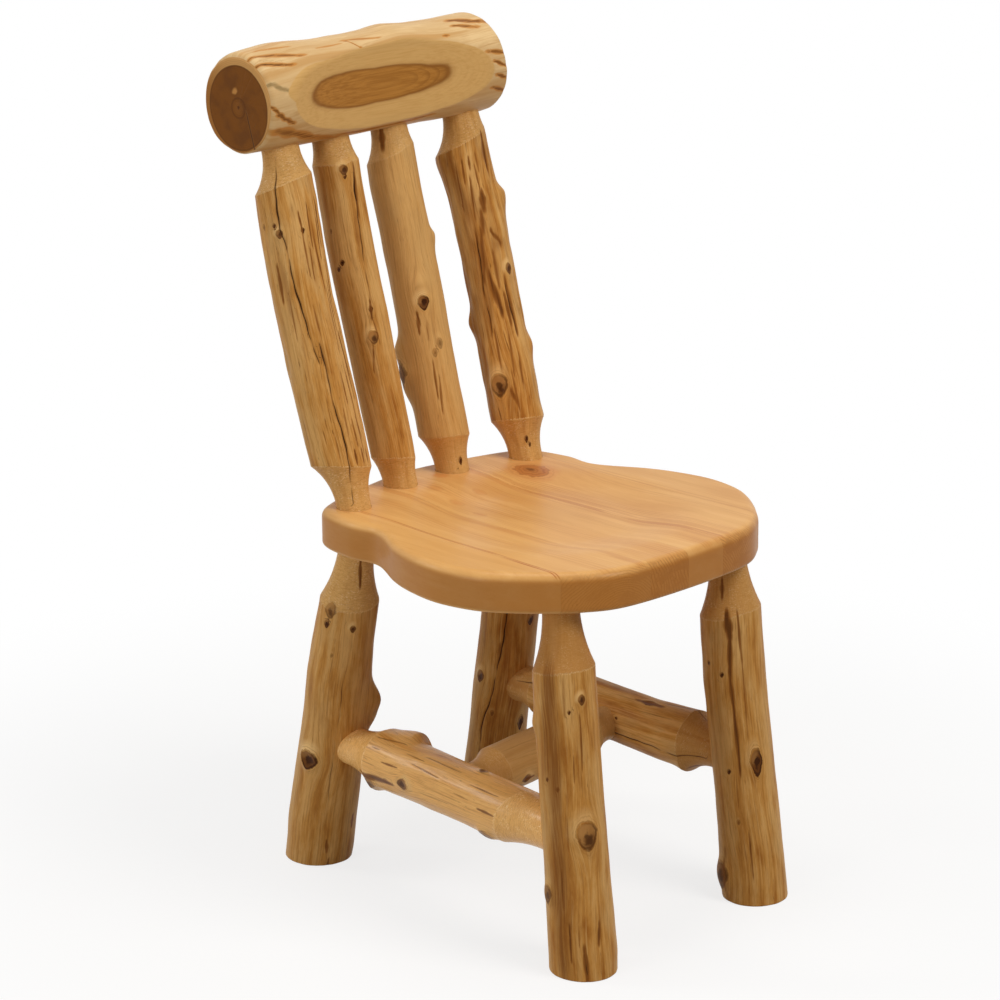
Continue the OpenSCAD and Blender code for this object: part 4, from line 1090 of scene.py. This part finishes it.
def log_stock(log):
    """Rings of a log's skin, lined up on the shoulder edges, with the marks stored on the points."""
    theta = np.arange(GIRTH_POINTS) / GIRTH_POINTS * TAU
    _, foot_start, foot_sweep, foot_tip = log.foot
    _, head_start, head_sweep, head_tip = log.head
    rings = []

    def ring(s, share=1.0, end=0.0):
        rings.append((s + 0 * theta, share + 0 * theta, end))

    high = shoulder_line(log, theta, head_start, -1.0, head_sweep)
    if log.sawn_foot:
        up = log.turned[2]
        lean = -(up[0] * np.cos(theta) + up[1] * np.sin(theta)) / up[2]
        low = 0 * theta
        for _ in range(4):
            radius = log.skin_radius(theta, low) + log.relief(theta, low)
            low = lean * radius
        for share in (0.25, 0.5, 0.72, 0.86, 0.94):
            ring(low * share, share, 1.0)
        for angle in np.linspace(0, math.pi / 2, 5):
            share = 1 - FOOT_EASE * (1 - math.sin(angle)) / radius
            ring(low * share + FOOT_EASE * (1 - math.cos(angle)), share, 0.6 if angle < 0.3 else 0.0)
        low = low + FOOT_EASE
    else:
        low = shoulder_line(log, theta, foot_start, 1.0, foot_sweep)
        ring(foot_tip, 0.9)
        ring(foot_tip + 1.0)
        for s in np.linspace(foot_tip + 5, foot_start - 1, TENON_ROWS):
            ring(s)
        for t in np.linspace(0, 1, FOOT_CUT_ROWS)[:-1]:
            ring(foot_start + (low - foot_start) * t)
    for t in np.linspace(0, 1, int(float(np.mean(high - low)) / SKIN_STEP)):
        ring(low + (high - low) * t)
    for t in np.linspace(0, 1, HEAD_CUT_ROWS)[1:]:
        ring(high + (head_start - high) * t)
    for s in np.linspace(head_start + 1, head_tip - 5, TENON_ROWS):
        ring(s)
    ring(head_tip - 1.0)
    ring(head_tip, 0.9)
    s, share, end = (np.array(part) for part in zip(*rings))
    angle = np.append(theta + 0 * s, [0, 0])
    s, share = np.append(s, [foot_tip, head_tip]), np.append(share, [0, 0])
    points = np.stack([np.cos(angle) * share, np.sin(angle) * share, s], 1)
    mesh = tube_mesh(log.node + "_stock", points, len(rings), GIRTH_POINTS)
    u, v, shown, *look = log.knot_at(angle, s)
    end = np.append(np.repeat(end, GIRTH_POINTS), [float(log.sawn_foot), 0.0])
    store(mesh, skin=log.skin_radius(angle, s), relief=log.relief(angle, s), end=end, knot=(u, v, shown),
          knot_look=tuple(look), **log.marks(angle, s))
    return mesh


def build_log(log, tree):
    values = {"Chatter": 0.35, "Fibre": 0.35 + 0.5 * log.furrow, "Seed": float(log.seed),
              "Wood": peeled_log_material("wood_" + log.node, **log.look)}
    for end, sizes in (("Foot", log.foot), ("Head", log.head)):
        values.update(zip((end + " Tenon", end + " Start", end + " Sweep"), sizes))
    mesh = run_tree(tree, log_stock(log), log.node, values)
    points = np.zeros(len(mesh.vertices) * 3, np.float32)
    mesh.vertices.foreach_get("co", points)
    points = (points.reshape(-1, 3) @ log.turned.T + log.start) * MM
    if log.sawn_foot:
        points[:, 2] = np.maximum(points[:, 2], 0.0)
    mesh.vertices.foreach_set("co", points.astype(np.float32).ravel())
    mesh.update()
    make_piece(mesh, "log_" + log.node, log.node, sharp=32)


# Crest rail

RAIL_TOP = [(0, 57), (20, 59), (40, 60.3), (60, 61.5), (80, 61), (100, 59.3), (120, 58), (140, 57.5),
            (180, 58),
            (200, 58.8), (220, 60.8), (240, 60), (260, 58), (300, 57.3), (340, 57.8), (369, 58.3)]
RAIL_UNDER = [(0, 56.3), (80, 57.5), (160, 58), (260, 58.5), (300, 59), (369, 59.5)]
RAIL_LENGTH = 2 * RAIL_HALF
RAIL_ROWS, FACE_POINTS, BACK_POINTS = 230, 90, 158
RIM_BAND = 14.0
NO_TOOL = 400.0
# Heartwood: stations, rise of the pith and radius of the heart, and how far it lies toward the face
HEART_S = [0, 14, 66, 84, 122, 176, 226, 257, 284, 369]
HEART_RISE = [-4.5, 0.4, 1.2, 3.0, 1.3, 0.0, -0.4, -0.6, 1.0, 0.6]
HEART_R = [48, 46.9, 46.4, 44.7, 41.5, 38.1, 38.1, 39.2, 41.7, 43]
HEART_FACE = ([0, 14, 66], [-0.5, 4.6, 3.0])

rail = Log("crest_rail", (-RAIL_HALF, RAIL_Y, RAIL_Z), (RAIL_HALF, RAIL_Y, RAIL_Z), RAIL_TOP, RAIL_UNDER,
           (10, -2000, 60, 0), (10, 3000, 60, 0), side=166, seed=131, wave=0.5, furrow=0.6,
           knots=[(153, -152, 4.5, 0.3, FAINT), (228, 172, 9, 0.8, LUMP), (0, 50, 20, 2.2, LUMP)],
           checks=[(0.35, [(4, -148), (40, -137)])],
           stains=[(5, -162, 62, -147, 4.4, 0.9), (22, -171, 60, -165, 3.0, 0.6),
                   (1, -147, 42, -137, 4.0, 0.9), (145, -162, 189, -155, 3.2, 0.7),
                   (146, -160, 155, -145, 3.2, 0.8), (98, -155, 132, -157, 2.4, 0.6),
                   (318, -165, 350, -153, 6.5, 1.0), (313, -153, 340, -145, 4.5, 0.95),
                   (350, -153, 369, -150, 5.5, 0.8), (285, -140, 291, -140, 3, 0.9),
                   (0, -94, 11, -84, 4, 1.0), (10, -83, 20, -77, 4, 1.0), (20, -77, 32, -71, 4.5, 1.0),
                   (14, -62, 43, -54, 10, 0.85), (43, -54, 77, -41, 9, 0.8), (77, -41, 116, -29, 8, 0.7),
                   (127, -36, 196, -33, 4.5, 0.75), (196, -33, 259, -40, 4.5, 0.75),
                   (341, -111, 366, -107, 3.4, 1.0), (348, -99, 363, -92, 3.4, 1.0),
                   (351, -83, 364, -78, 3.4, 1.0), (347, -68, 367, -61, 3.8, 1.0),
                   (150, 150, 260, 152, 10, 0.35), (10, -178, 110, -182, 12, 0.35)])
RAIL_GREY = [(5, -119, 19, -111, 6, 1.0), (19, -111, 34, -106, 4, 0.9)]


def hollow(s):
    """How far the planed hollow lies from the rail's axis."""
    return swept(HOLLOW_DEEP, HOLLOW_SWEEP, s - RAIL_HALF - HOLLOW_X)


def heart_at(toward_face, upward, s):
    """Distance from the pith and from the heartwood's edge."""
    pith = np.hypot(toward_face - np.interp(s, *HEART_FACE), upward - np.interp(s, HEART_S, HEART_RISE))
    return pith, pith - np.interp(s, HEART_S, HEART_R)


def rim_radius(angle, far):
    """Rounding of the rail's rim at an end, full above and slight below."""
    if far:
        return 3.0 + 9.0 * ease(np.cos(angle - math.pi), -0.6, 0.9)
    return 3.0 + 5.0 * ease(np.cos(angle + math.radians(135)), -0.6, 0.6)


def soft_less(a, b, round_off):
    """The smaller of two, with the corner between them rounded."""
    share = np.clip(0.5 + 0.5 * (b - a) / round_off, 0, 1)
    return b + (a - b) * share - round_off * share * (1 - share)


def build_rail():
    # rows at each end, as share of the radius, bend of the rim and way along its band
    end_rows = [(share, 0.0, 0.0) for share in (0.06, 0.16, 0.3, 0.45, 0.6, 0.75, 0.88, 0.96)]
    end_rows += [(1.0, bend, 0.0) for bend in np.linspace(0, math.pi / 2, 9)]
    end_rows += [(1.0, math.pi / 2, bridge) for bridge in (0.2, 0.4, 0.6, 0.8)]
    few = len(end_rows)
    inner = np.linspace(RIM_BAND, RAIL_LENGTH - RIM_BAND, RAIL_ROWS)
    s = np.concatenate([np.zeros(few), inner, np.full(few, RAIL_LENGTH)])
    # the planed face's two edges
    edges = []
    for way in (1.0, -1.0):
        half = np.full(len(s), 0.5)
        for _ in range(12):
            r = rail.skin_radius(HOLLOW_FACE + way * half, s)
            half = 0.5 * half + 0.5 * np.arccos(np.clip(hollow(s) / r, -1, 1))
        edges.append((HOLLOW_FACE + way * np.maximum(half, math.radians(5)))[:, None])
    up_to, down_to = edges
    face = down_to + (up_to - down_to) * np.linspace(0, 1, FACE_POINTS, endpoint=False)
    behind = up_to + (down_to + TAU - up_to) * np.linspace(0, 1, BACK_POINTS, endpoint=False)
    angle = np.concatenate([face, behind], 1)
    rows, columns = angle.shape
    station, share = np.repeat(s[:, None], columns, 1), np.ones((rows, columns))
    drop, ends = np.zeros((rows, columns)), np.zeros(rows)
    for i, (part, bend, bridge) in enumerate(end_rows):
        for row, base, way in ((i, 0.0, 1), (rows - 1 - i, RAIL_LENGTH, -1)):
            rim = rim_radius(angle[row], way < 0)
            station[row] = base + way * (rim * (1 - math.cos(bend)) + (RIM_BAND - rim) * bridge)
            share[row], drop[row] = part, rim * (1 - math.sin(bend))
            ends[row] = 1.0 if bend < 0.42 else 0.0
    skin = rail.skin_radius(angle, station)
    swing = np.cos(angle - HOLLOW_FACE)
    tool = np.where(swing > 0.3, hollow(station) / np.maximum(swing, 0.3), NO_TOOL)
    relief = rail.relief(angle, station) * ease(skin - tool, 0.5, -0.8)
    over = -np.cos(angle)
    radius = (soft_less(skin + relief, tool, 1.0 + 2.4 * ease(over, 0.0, 0.3)) - drop) * share
    local = np.stack([radius * np.cos(angle), radius * np.sin(angle), station], -1).reshape(-1, 3)
    local = np.vstack([local, [[0, 0, 0], [0, 0, RAIL_LENGTH]]])
    world = local @ rail.turned.T + rail.start
    world[:, 1] -= 0.4 * np.maximum(world[:, 1] - RAIL_Y - RAIL_R + 2, 0)
    mesh = tube_mesh("crest_rail", world * MM, rows, columns)
    # marks on the points
    y, z = world[:, 1] - RAIL_Y, world[:, 2] - RAIL_Z
    pith, heart = heart_at(-y, z, local[:, 2])
    x = station - RAIL_HALF
    planed_past = 4.5 * ease(over, 0.05, 0.3) * ease(x, -80, -140) * ease(x, -174, -158)
    near = local[:, 2] < 1
    place = np.append(angle.ravel(), [0, 0]), np.append(station.ravel(), [0, RAIL_LENGTH])
    marks = rail.marks(*place)
    offset, half, flat = marks["check"]
    crack = (y + 10.1) - 0.30 * z
    cracked = np.abs(crack) < 10
    offset = np.where(near, np.where(cracked, crack, 9), offset)
    half = np.where(near, np.where(cracked & (z < -2), 0.55 * ease(z, -2.0, -14.0), 0), half)
    marks["check"] = offset, half, flat
    # the grey mask also holds painted shadow rings round the screw heads
    store(mesh, end=np.append(np.repeat(ends, columns), [1.0, 1.0]), pith=pith, heart=heart,
          cut=np.clip(np.append(skin - tool + planed_past, [-3, -3]), -3, 3),
          grey=rail.stain_and_shade_at(*place, RAIL_GREY), place=tuple(local.T),
          pale=near * np.clip(1.2 - np.hypot((y - 6 + 0.5 * (z - 15)) / 7, (z - 15) / 7), 0, 1), **marks)
    mesh.materials.append(rail_material("wood_crest_rail"))
    make_piece(mesh, "log_crest_rail", "crest_rail", sharp=45)


# Seat

SEAT_HALF = [(0, -227), (96, -221), (143, -199), (176, -169), (203, -136), (219, -105), (226.9, -60),
             (221, -16), (208, 24), (179.5, 80), (182, 124), (171, 175), (146, 195), (82, 213), (0, 225)]
SEAMS = [-161.0, -63.0, -4.0, 54.0, 150.0]
SEAM_HALF_GAP = 0.05
EDGE_TOP, EDGE_UNDER, EDGE_POINTS = 11.0, 5.0, 560
DISH_R, DISH_DEEP, DISH_FORWARD = 165.0, 8.0, 12.0
SEAM_LINES = (-164.5, -142.5, 3.6, 2.7, 0.95, 0.1)
REAR_SPOT = (-5, 213, 11, 1.2, 0.8, 0.1)
# Looks of the boards: pith, ring spacing, end contrast, warmth, seed, then bundles of grain lines as front
# x, rear x, half width, gap, strength and softness, then spots as x, y, half width, length, redness and
# rim, then a knot's place
BOARDS = [
    ((-330, 380), 16, 0.08, -0.8, 3, [SEAM_LINES]),
    ((-100, 392), 2.8, 0.5, -0.2, 7,
     [SEAM_LINES, (-72, -68, 7, 2.6, 0.45, 0.3), (-112, -106, 14, 6, 0.2, 0)]),
    ((-280, 350), 4.2, 0.6, 0.5, 12, [(-22, -22, 14, 5.5, 0.26, 0), (-50, -50, 8, 4, 0.2, 0)],
     [(-24, 144, 7, 1.5, 0.4, 0.2), (-35, 98, 6, 1.6, 0.35, 0.2), (-45, 51, 5, 1.7, 0.3, 0.2), REAR_SPOT]),
    ((26, 300), 15, 0.12, 0.6, 15, [(30, 30, 10, 4, 0.24, 0), (50, 50, 5, 2.2, 0.45, 0.2)],
     [(11, 107, 6, 1.6, 0.35, 0.2), (34, 218, 11, 1.1, 0.8, 0.1), (14, 175, 9, 1.4, 0.7, 0.1), REAR_SPOT]),
    ((18, 388), 3.2, 0.62, 0.3, 21,
     [(58, 58, 5.5, 1.8, 0.95, 0.15), (70, 70, 7, 2.6, 0.6, 0.1), (84, 84, 10, 4, 0.3, 0),
      (136, 136, 8, 5, 0.18, 0.2)],
     [], (103, 114)),
    ((300, 330), 15, 0.08, 0.2, 28, [(156, 156, 6, 9, 0.35, 0.3)])]


def seat_outline(count):
    """Closed smooth curve through the half outline and its mirror, in even steps."""
    half = np.array(SEAT_HALF, float)
    points = np.vstack([half, half[-2:0:-1] * (-1, 1)])
    curve = []
    for i in range(len(points)):
        a, b, c, d = (points[(i + k) % len(points)] for k in (-1, 0, 1, 2))
        for t in np.linspace(0, 1, 24, endpoint=False):
            bend = (2 * a - 5 * b + 4 * c - d) * t * t + (3 * b - a - 3 * c + d) * t ** 3
            curve.append(0.5 * (2 * b + (c - a) * t + bend))
    curve = np.array(curve + [curve[0]])
    reach = np.append(0, np.cumsum(np.linalg.norm(np.diff(curve, axis=0), axis=1)))
    at = np.linspace(0, reach[-1], count, endpoint=False)
    return np.stack([np.interp(at, reach, curve[:, k]) for k in (0, 1)], 1)


def seat_top(x, y):
    away = np.hypot(x, y + DISH_FORWARD) / DISH_R
    return SEAT_TOP - DISH_DEEP * ease(away, 1.04, 0.56)


def seat_slab():
    edge = seat_outline(EDGE_POINTS)
    along = np.roll(edge, -1, 0) - np.roll(edge, 1, 0)
    for _ in range(3):
        along = along + np.roll(along, 1, 0) + np.roll(along, -1, 0)
    along /= np.linalg.norm(along, axis=1)[:, None]
    outward = np.stack([along[:, 1], -along[:, 0]], 1)
    middle = np.array([0.0, -DISH_FORWARD])
    inner, inner_under = edge - outward * EDGE_TOP, edge - outward * EDGE_UNDER
    rings = []

    def ring(flat, z):
        rings.append(np.column_stack([flat, z + 0 * flat[:, 0]]))

    for share in np.linspace(0.02, 1, 78)[:-1]:
        flat = middle + (inner - middle) * share
        ring(flat, seat_top(*flat.T))
    for a in np.linspace(0, math.pi / 2, 8):
        ring(edge - outward * EDGE_TOP * (1 - math.sin(a)), seat_top(*inner.T) - EDGE_TOP * (1 - math.cos(a)))
    for z in np.linspace(SEAT_TOP - EDGE_TOP, SEAT_UNDER + EDGE_UNDER, 9)[1:-1]:
        ring(edge, z)
    for a in np.linspace(0, math.pi / 2, 6):
        ring(edge - outward * EDGE_UNDER * (1 - math.cos(a)), SEAT_UNDER + EDGE_UNDER * (1 - math.sin(a)))
    for share in np.linspace(1, 0.04, 16)[1:]:
        ring(middle + (inner_under - middle) * share, SEAT_UNDER)
    points = np.vstack(rings + [[[*middle, float(seat_top(*middle))], [*middle, SEAT_UNDER]]])
    points[:, 1] += SEAT_Y
    return tube_mesh("seat_slab", points * MM, len(rings), EDGE_POINTS)


def build_seat():
    slab = bmesh.new()
    slab.from_mesh(seat_slab())
    bmesh.ops.recalc_face_normals(slab, faces=slab.faces)
    for i, look in enumerate(BOARDS):
        node = f"seat_board_{i + 1}"
        board = slab.copy()
        for wall, way in zip(SEAMS[max(i - 1, 0):i + 1], (-1, 1) if i else (1,)):
            bmesh.ops.bisect_plane(board, geom=board.verts[:] + board.edges[:] + board.faces[:], dist=1e-7,
                                   plane_co=((wall - way * SEAM_HALF_GAP) * MM, 0, 0), plane_no=(way, 0, 0),
                                   clear_outer=True)
            rim = [e for e in board.edges if e.is_boundary]
            bmesh.ops.triangle_fill(board, edges=rim, use_beauty=True, use_dissolve=False)
        bmesh.ops.recalc_face_normals(board, faces=board.faces)
        mesh = bpy.data.meshes.new(node)
        board.to_mesh(mesh)
        board.free()
        mesh.materials.append(seat_material("wood_" + node, *look))
        make_piece(mesh, "plank_" + node, node, sharp=40)
    slab.free()


# Screws

SCREW_PAST, SCREW_SUNK, PLUG_DEEP = 7.0, 1.1, 3.2


def screw_seat(log, start, way, plugged=False):
    """Marks where a screw's head meets a log's surface, and returns the head's middle, its way and its
    reach to the tip. A plugged screw lies under the wood and leaves no mark."""
    steps = np.arange(4.0, 90.0, 0.1)
    local = (np.array(start) + np.outer(steps, way) - log.start) @ log.turned
    angle = np.arctan2(local[:, 1], local[:, 0])
    surface = np.minimum(log.skin_radius(angle, local[:, 2]), log.tool_radius(local[:, 2]))
    i = int(np.argmax(np.hypot(local[:, 0], local[:, 1]) > surface))
    if not plugged:
        log.screws.append((local[i, 2], math.degrees(angle[i])))
    reach = steps[i] - (PLUG_DEEP if plugged else SCREW_SUNK)
    return np.array(start) + np.array(way) * reach, np.array(way), reach + SCREW_PAST


def plan_screws():
    """Screws through the spindles' tenons from the rail's back, and through the stretchers' tenons."""
    logs = {log.node: log for log in LOGS}
    rail_set, stretcher_set = [], []
    for (x, y), aim in zip(SPINDLE_FEET, SPINDLE_AIM_X):
        head = np.array([aim, SPINDLE_AIM_Y, RAIL_Z])
        line = head - (x, y, SEAT_TOP)
        rail_set.append(screw_seat(rail, head - line / np.linalg.norm(line) * (RAIL_R - 20), (0.0, 1.0, 0.0)))

    def lock(host, place, line, inside, way, plugged):
        """A screw across a stretcher's tenon, somewhat inside its host's girth."""
        start = place + line / np.linalg.norm(line) * (host.girth_r - inside)
        stretcher_set.append(screw_seat(host, start, way, plugged))

    for side, (rear, front), inward in (("right", side_right, 1.0), ("left", side_left, -1.0)):
        lock(logs["leg_rear_" + side], rear, front - rear, 17, (inward, 0.0, 0.0), True)
        lock(logs["leg_front_" + side], front, rear - front, 17, (inward, 0.0, 0.0), True)
    cross = logs["cross_stretcher"]
    for side, near, far in (("right", cross.start, cross.end), ("left", cross.end, cross.start)):
        lock(logs["side_stretcher_" + side], near, far - near, 14.5, (0.0, 0.0, -1.0), False)
    return {"rail_screws": rail_set, "stretcher_screws": stretcher_set}


def build_screws(node, screws, tree, steel):
    middles, ways, reaches = (np.array(part) for part in zip(*screws))
    points = bpy.data.meshes.new(node + "_points")
    points.from_pydata(middles.tolist(), [], [])
    spins = np.random.default_rng(5).uniform(0, TAU, len(screws))
    store(points, aim=tuple(ways.T), reach=reaches, spin=spins)
    mesh = run_tree(tree, points, node, {"Steel": steel})
    mesh.transform(Matrix.Scale(MM, 4))
    make_piece(mesh, "set_" + node, node, sharp=28)


# Stage, light and camera

FLOOR_R = 14.0
ROOM_LIGHT = 0.22
LENS, SENSOR = 134.77, 36.0
CAMERA_AT = Vector((-2.90595, -2.84654, 1.68642))
CAMERA_RIGHT = Vector((0.69971731, -0.71438088, -0.00746013))
CAMERA_UP = Vector((0.21215425, 0.19780569, 0.95700757))
CAMERA_BACK = Vector((-0.68219225, -0.67121745, 0.28996701))
DAYLIGHT, WARM, NEUTRAL = (1.0, 0.98, 0.95), (1.0, 0.97, 0.92), (1.0, 1.0, 1.0)


def seen_directly(w):
    """Rays from the camera, and those that it sees by reflection or through clear matter."""
    path = w.node("ShaderNodeLightPath")
    bounced = w.math("MAXIMUM", path["Is Glossy Ray"], path["Is Transmission Ray"])
    return w.math("MAXIMUM", path["Is Camera Ray"], bounced)


def blend(w, share, a, b):
    return w.node("ShaderNodeMixShader", {0: share, 1: a, 2: b})[0]


def build_stage():
    floor_mesh = bpy.data.meshes.new("floor")
    disc = bmesh.new()
    bmesh.ops.create_circle(disc, cap_ends=True, radius=FLOOR_R, segments=96)
    disc.to_mesh(floor_mesh)
    disc.free()
    floor = add_object("floor", floor_mesh)
    material, w = new_material("pale_floor")
    matte, pale = (w.node("ShaderNodeBsdfDiffuse", {"Color": color})[0]
                   for color in ((0.42, 0.41, 0.4, 1), (0.95, 0.95, 0.95, 1)))
    glow = w.node("ShaderNodeEmission", {"Color": (*NEUTRAL, 1), "Strength": 1.0})[0]
    x, y, _ = w.parts(w.node("ShaderNodeTexCoord")["Object"])
    white = 0.78 + w.length(x, y).step(0.45, 1.2) * 0.22
    both = blend(w, seen_directly(w), matte, blend(w, white, pale, glow))
    # seen from above only
    from_below = w.node("ShaderNodeNewGeometry")["Backfacing"]
    one_sided = blend(w, from_below, both, w.node("ShaderNodeBsdfTransparent")[0])
    w.node("ShaderNodeOutputMaterial", {"Surface": one_sided})
    floor_mesh.materials.append(material)


def build_world():
    world = bpy.data.worlds.new("studio")
    bpy.context.scene.world = world
    world.use_nodes = True
    world.node_tree.nodes.clear()
    w = Wiring(world.node_tree)
    room, white = (w.node("ShaderNodeBackground", {"Color": (*color, 1), "Strength": strength})[0]
                   for color, strength in ((DAYLIGHT, ROOM_LIGHT), (NEUTRAL, 1.0)))
    w.node("ShaderNodeOutputWorld", {"Surface": blend(w, seen_directly(w), room, white)})


def build_light_and_camera():
    middle = Vector((0, 0, 0.5))
    flat_back = Vector((CAMERA_BACK.x, CAMERA_BACK.y, 0)).normalized()
    key_at = CAMERA_RIGHT * 1.9 + flat_back * 1.3 + Vector((0, 0, 2.2))
    fill_at = CAMERA_RIGHT * -1.9 + flat_back * 2.0 + Vector((0, 0, 0.5))
    for name, place, size, watts, color in (
            ("key", key_at, 1.5, 49, WARM), ("top", (0.0, 0.1, 2.9), 1.6, 30, DAYLIGHT),
            ("fill", fill_at, 1.4, 18, DAYLIGHT), ("rim", (-1.7, 2.3, 1.7), 0.9, 16, WARM)):
        data = bpy.data.lights.new(name, "AREA")
        data.shape, data.size, data.energy, data.color = "DISK", size, watts, color
        light = add_object(name, data)
        light.location = middle + Vector(place)
        light.rotation_euler = (-Vector(place)).to_track_quat("-Z", "Y").to_euler()
    data = bpy.data.cameras.new("view")
    data.lens, data.sensor_width = LENS, SENSOR
    camera = add_object("view", data)
    turned = Matrix((CAMERA_RIGHT, CAMERA_UP, CAMERA_BACK)).transposed().to_4x4()
    camera.matrix_world = Matrix.Translation(CAMERA_AT) @ turned
    bpy.context.scene.camera = camera


build_stage()
build_world()
build_light_and_camera()
screw_plan = plan_screws()
log_tree = turned_log_tree()
for spec in LOGS:
    build_log(spec, log_tree)
build_rail()
build_seat()
screw_tree, screw_steel = screw_set_tree(), screw_material("dark_screw_steel")
for screw_node, screw_places in screw_plan.items():
    build_screws(screw_node, screw_places, screw_tree, screw_steel)

bpy.context.scene.view_settings.view_transform = "Standard"
bpy.context.view_layer.update()
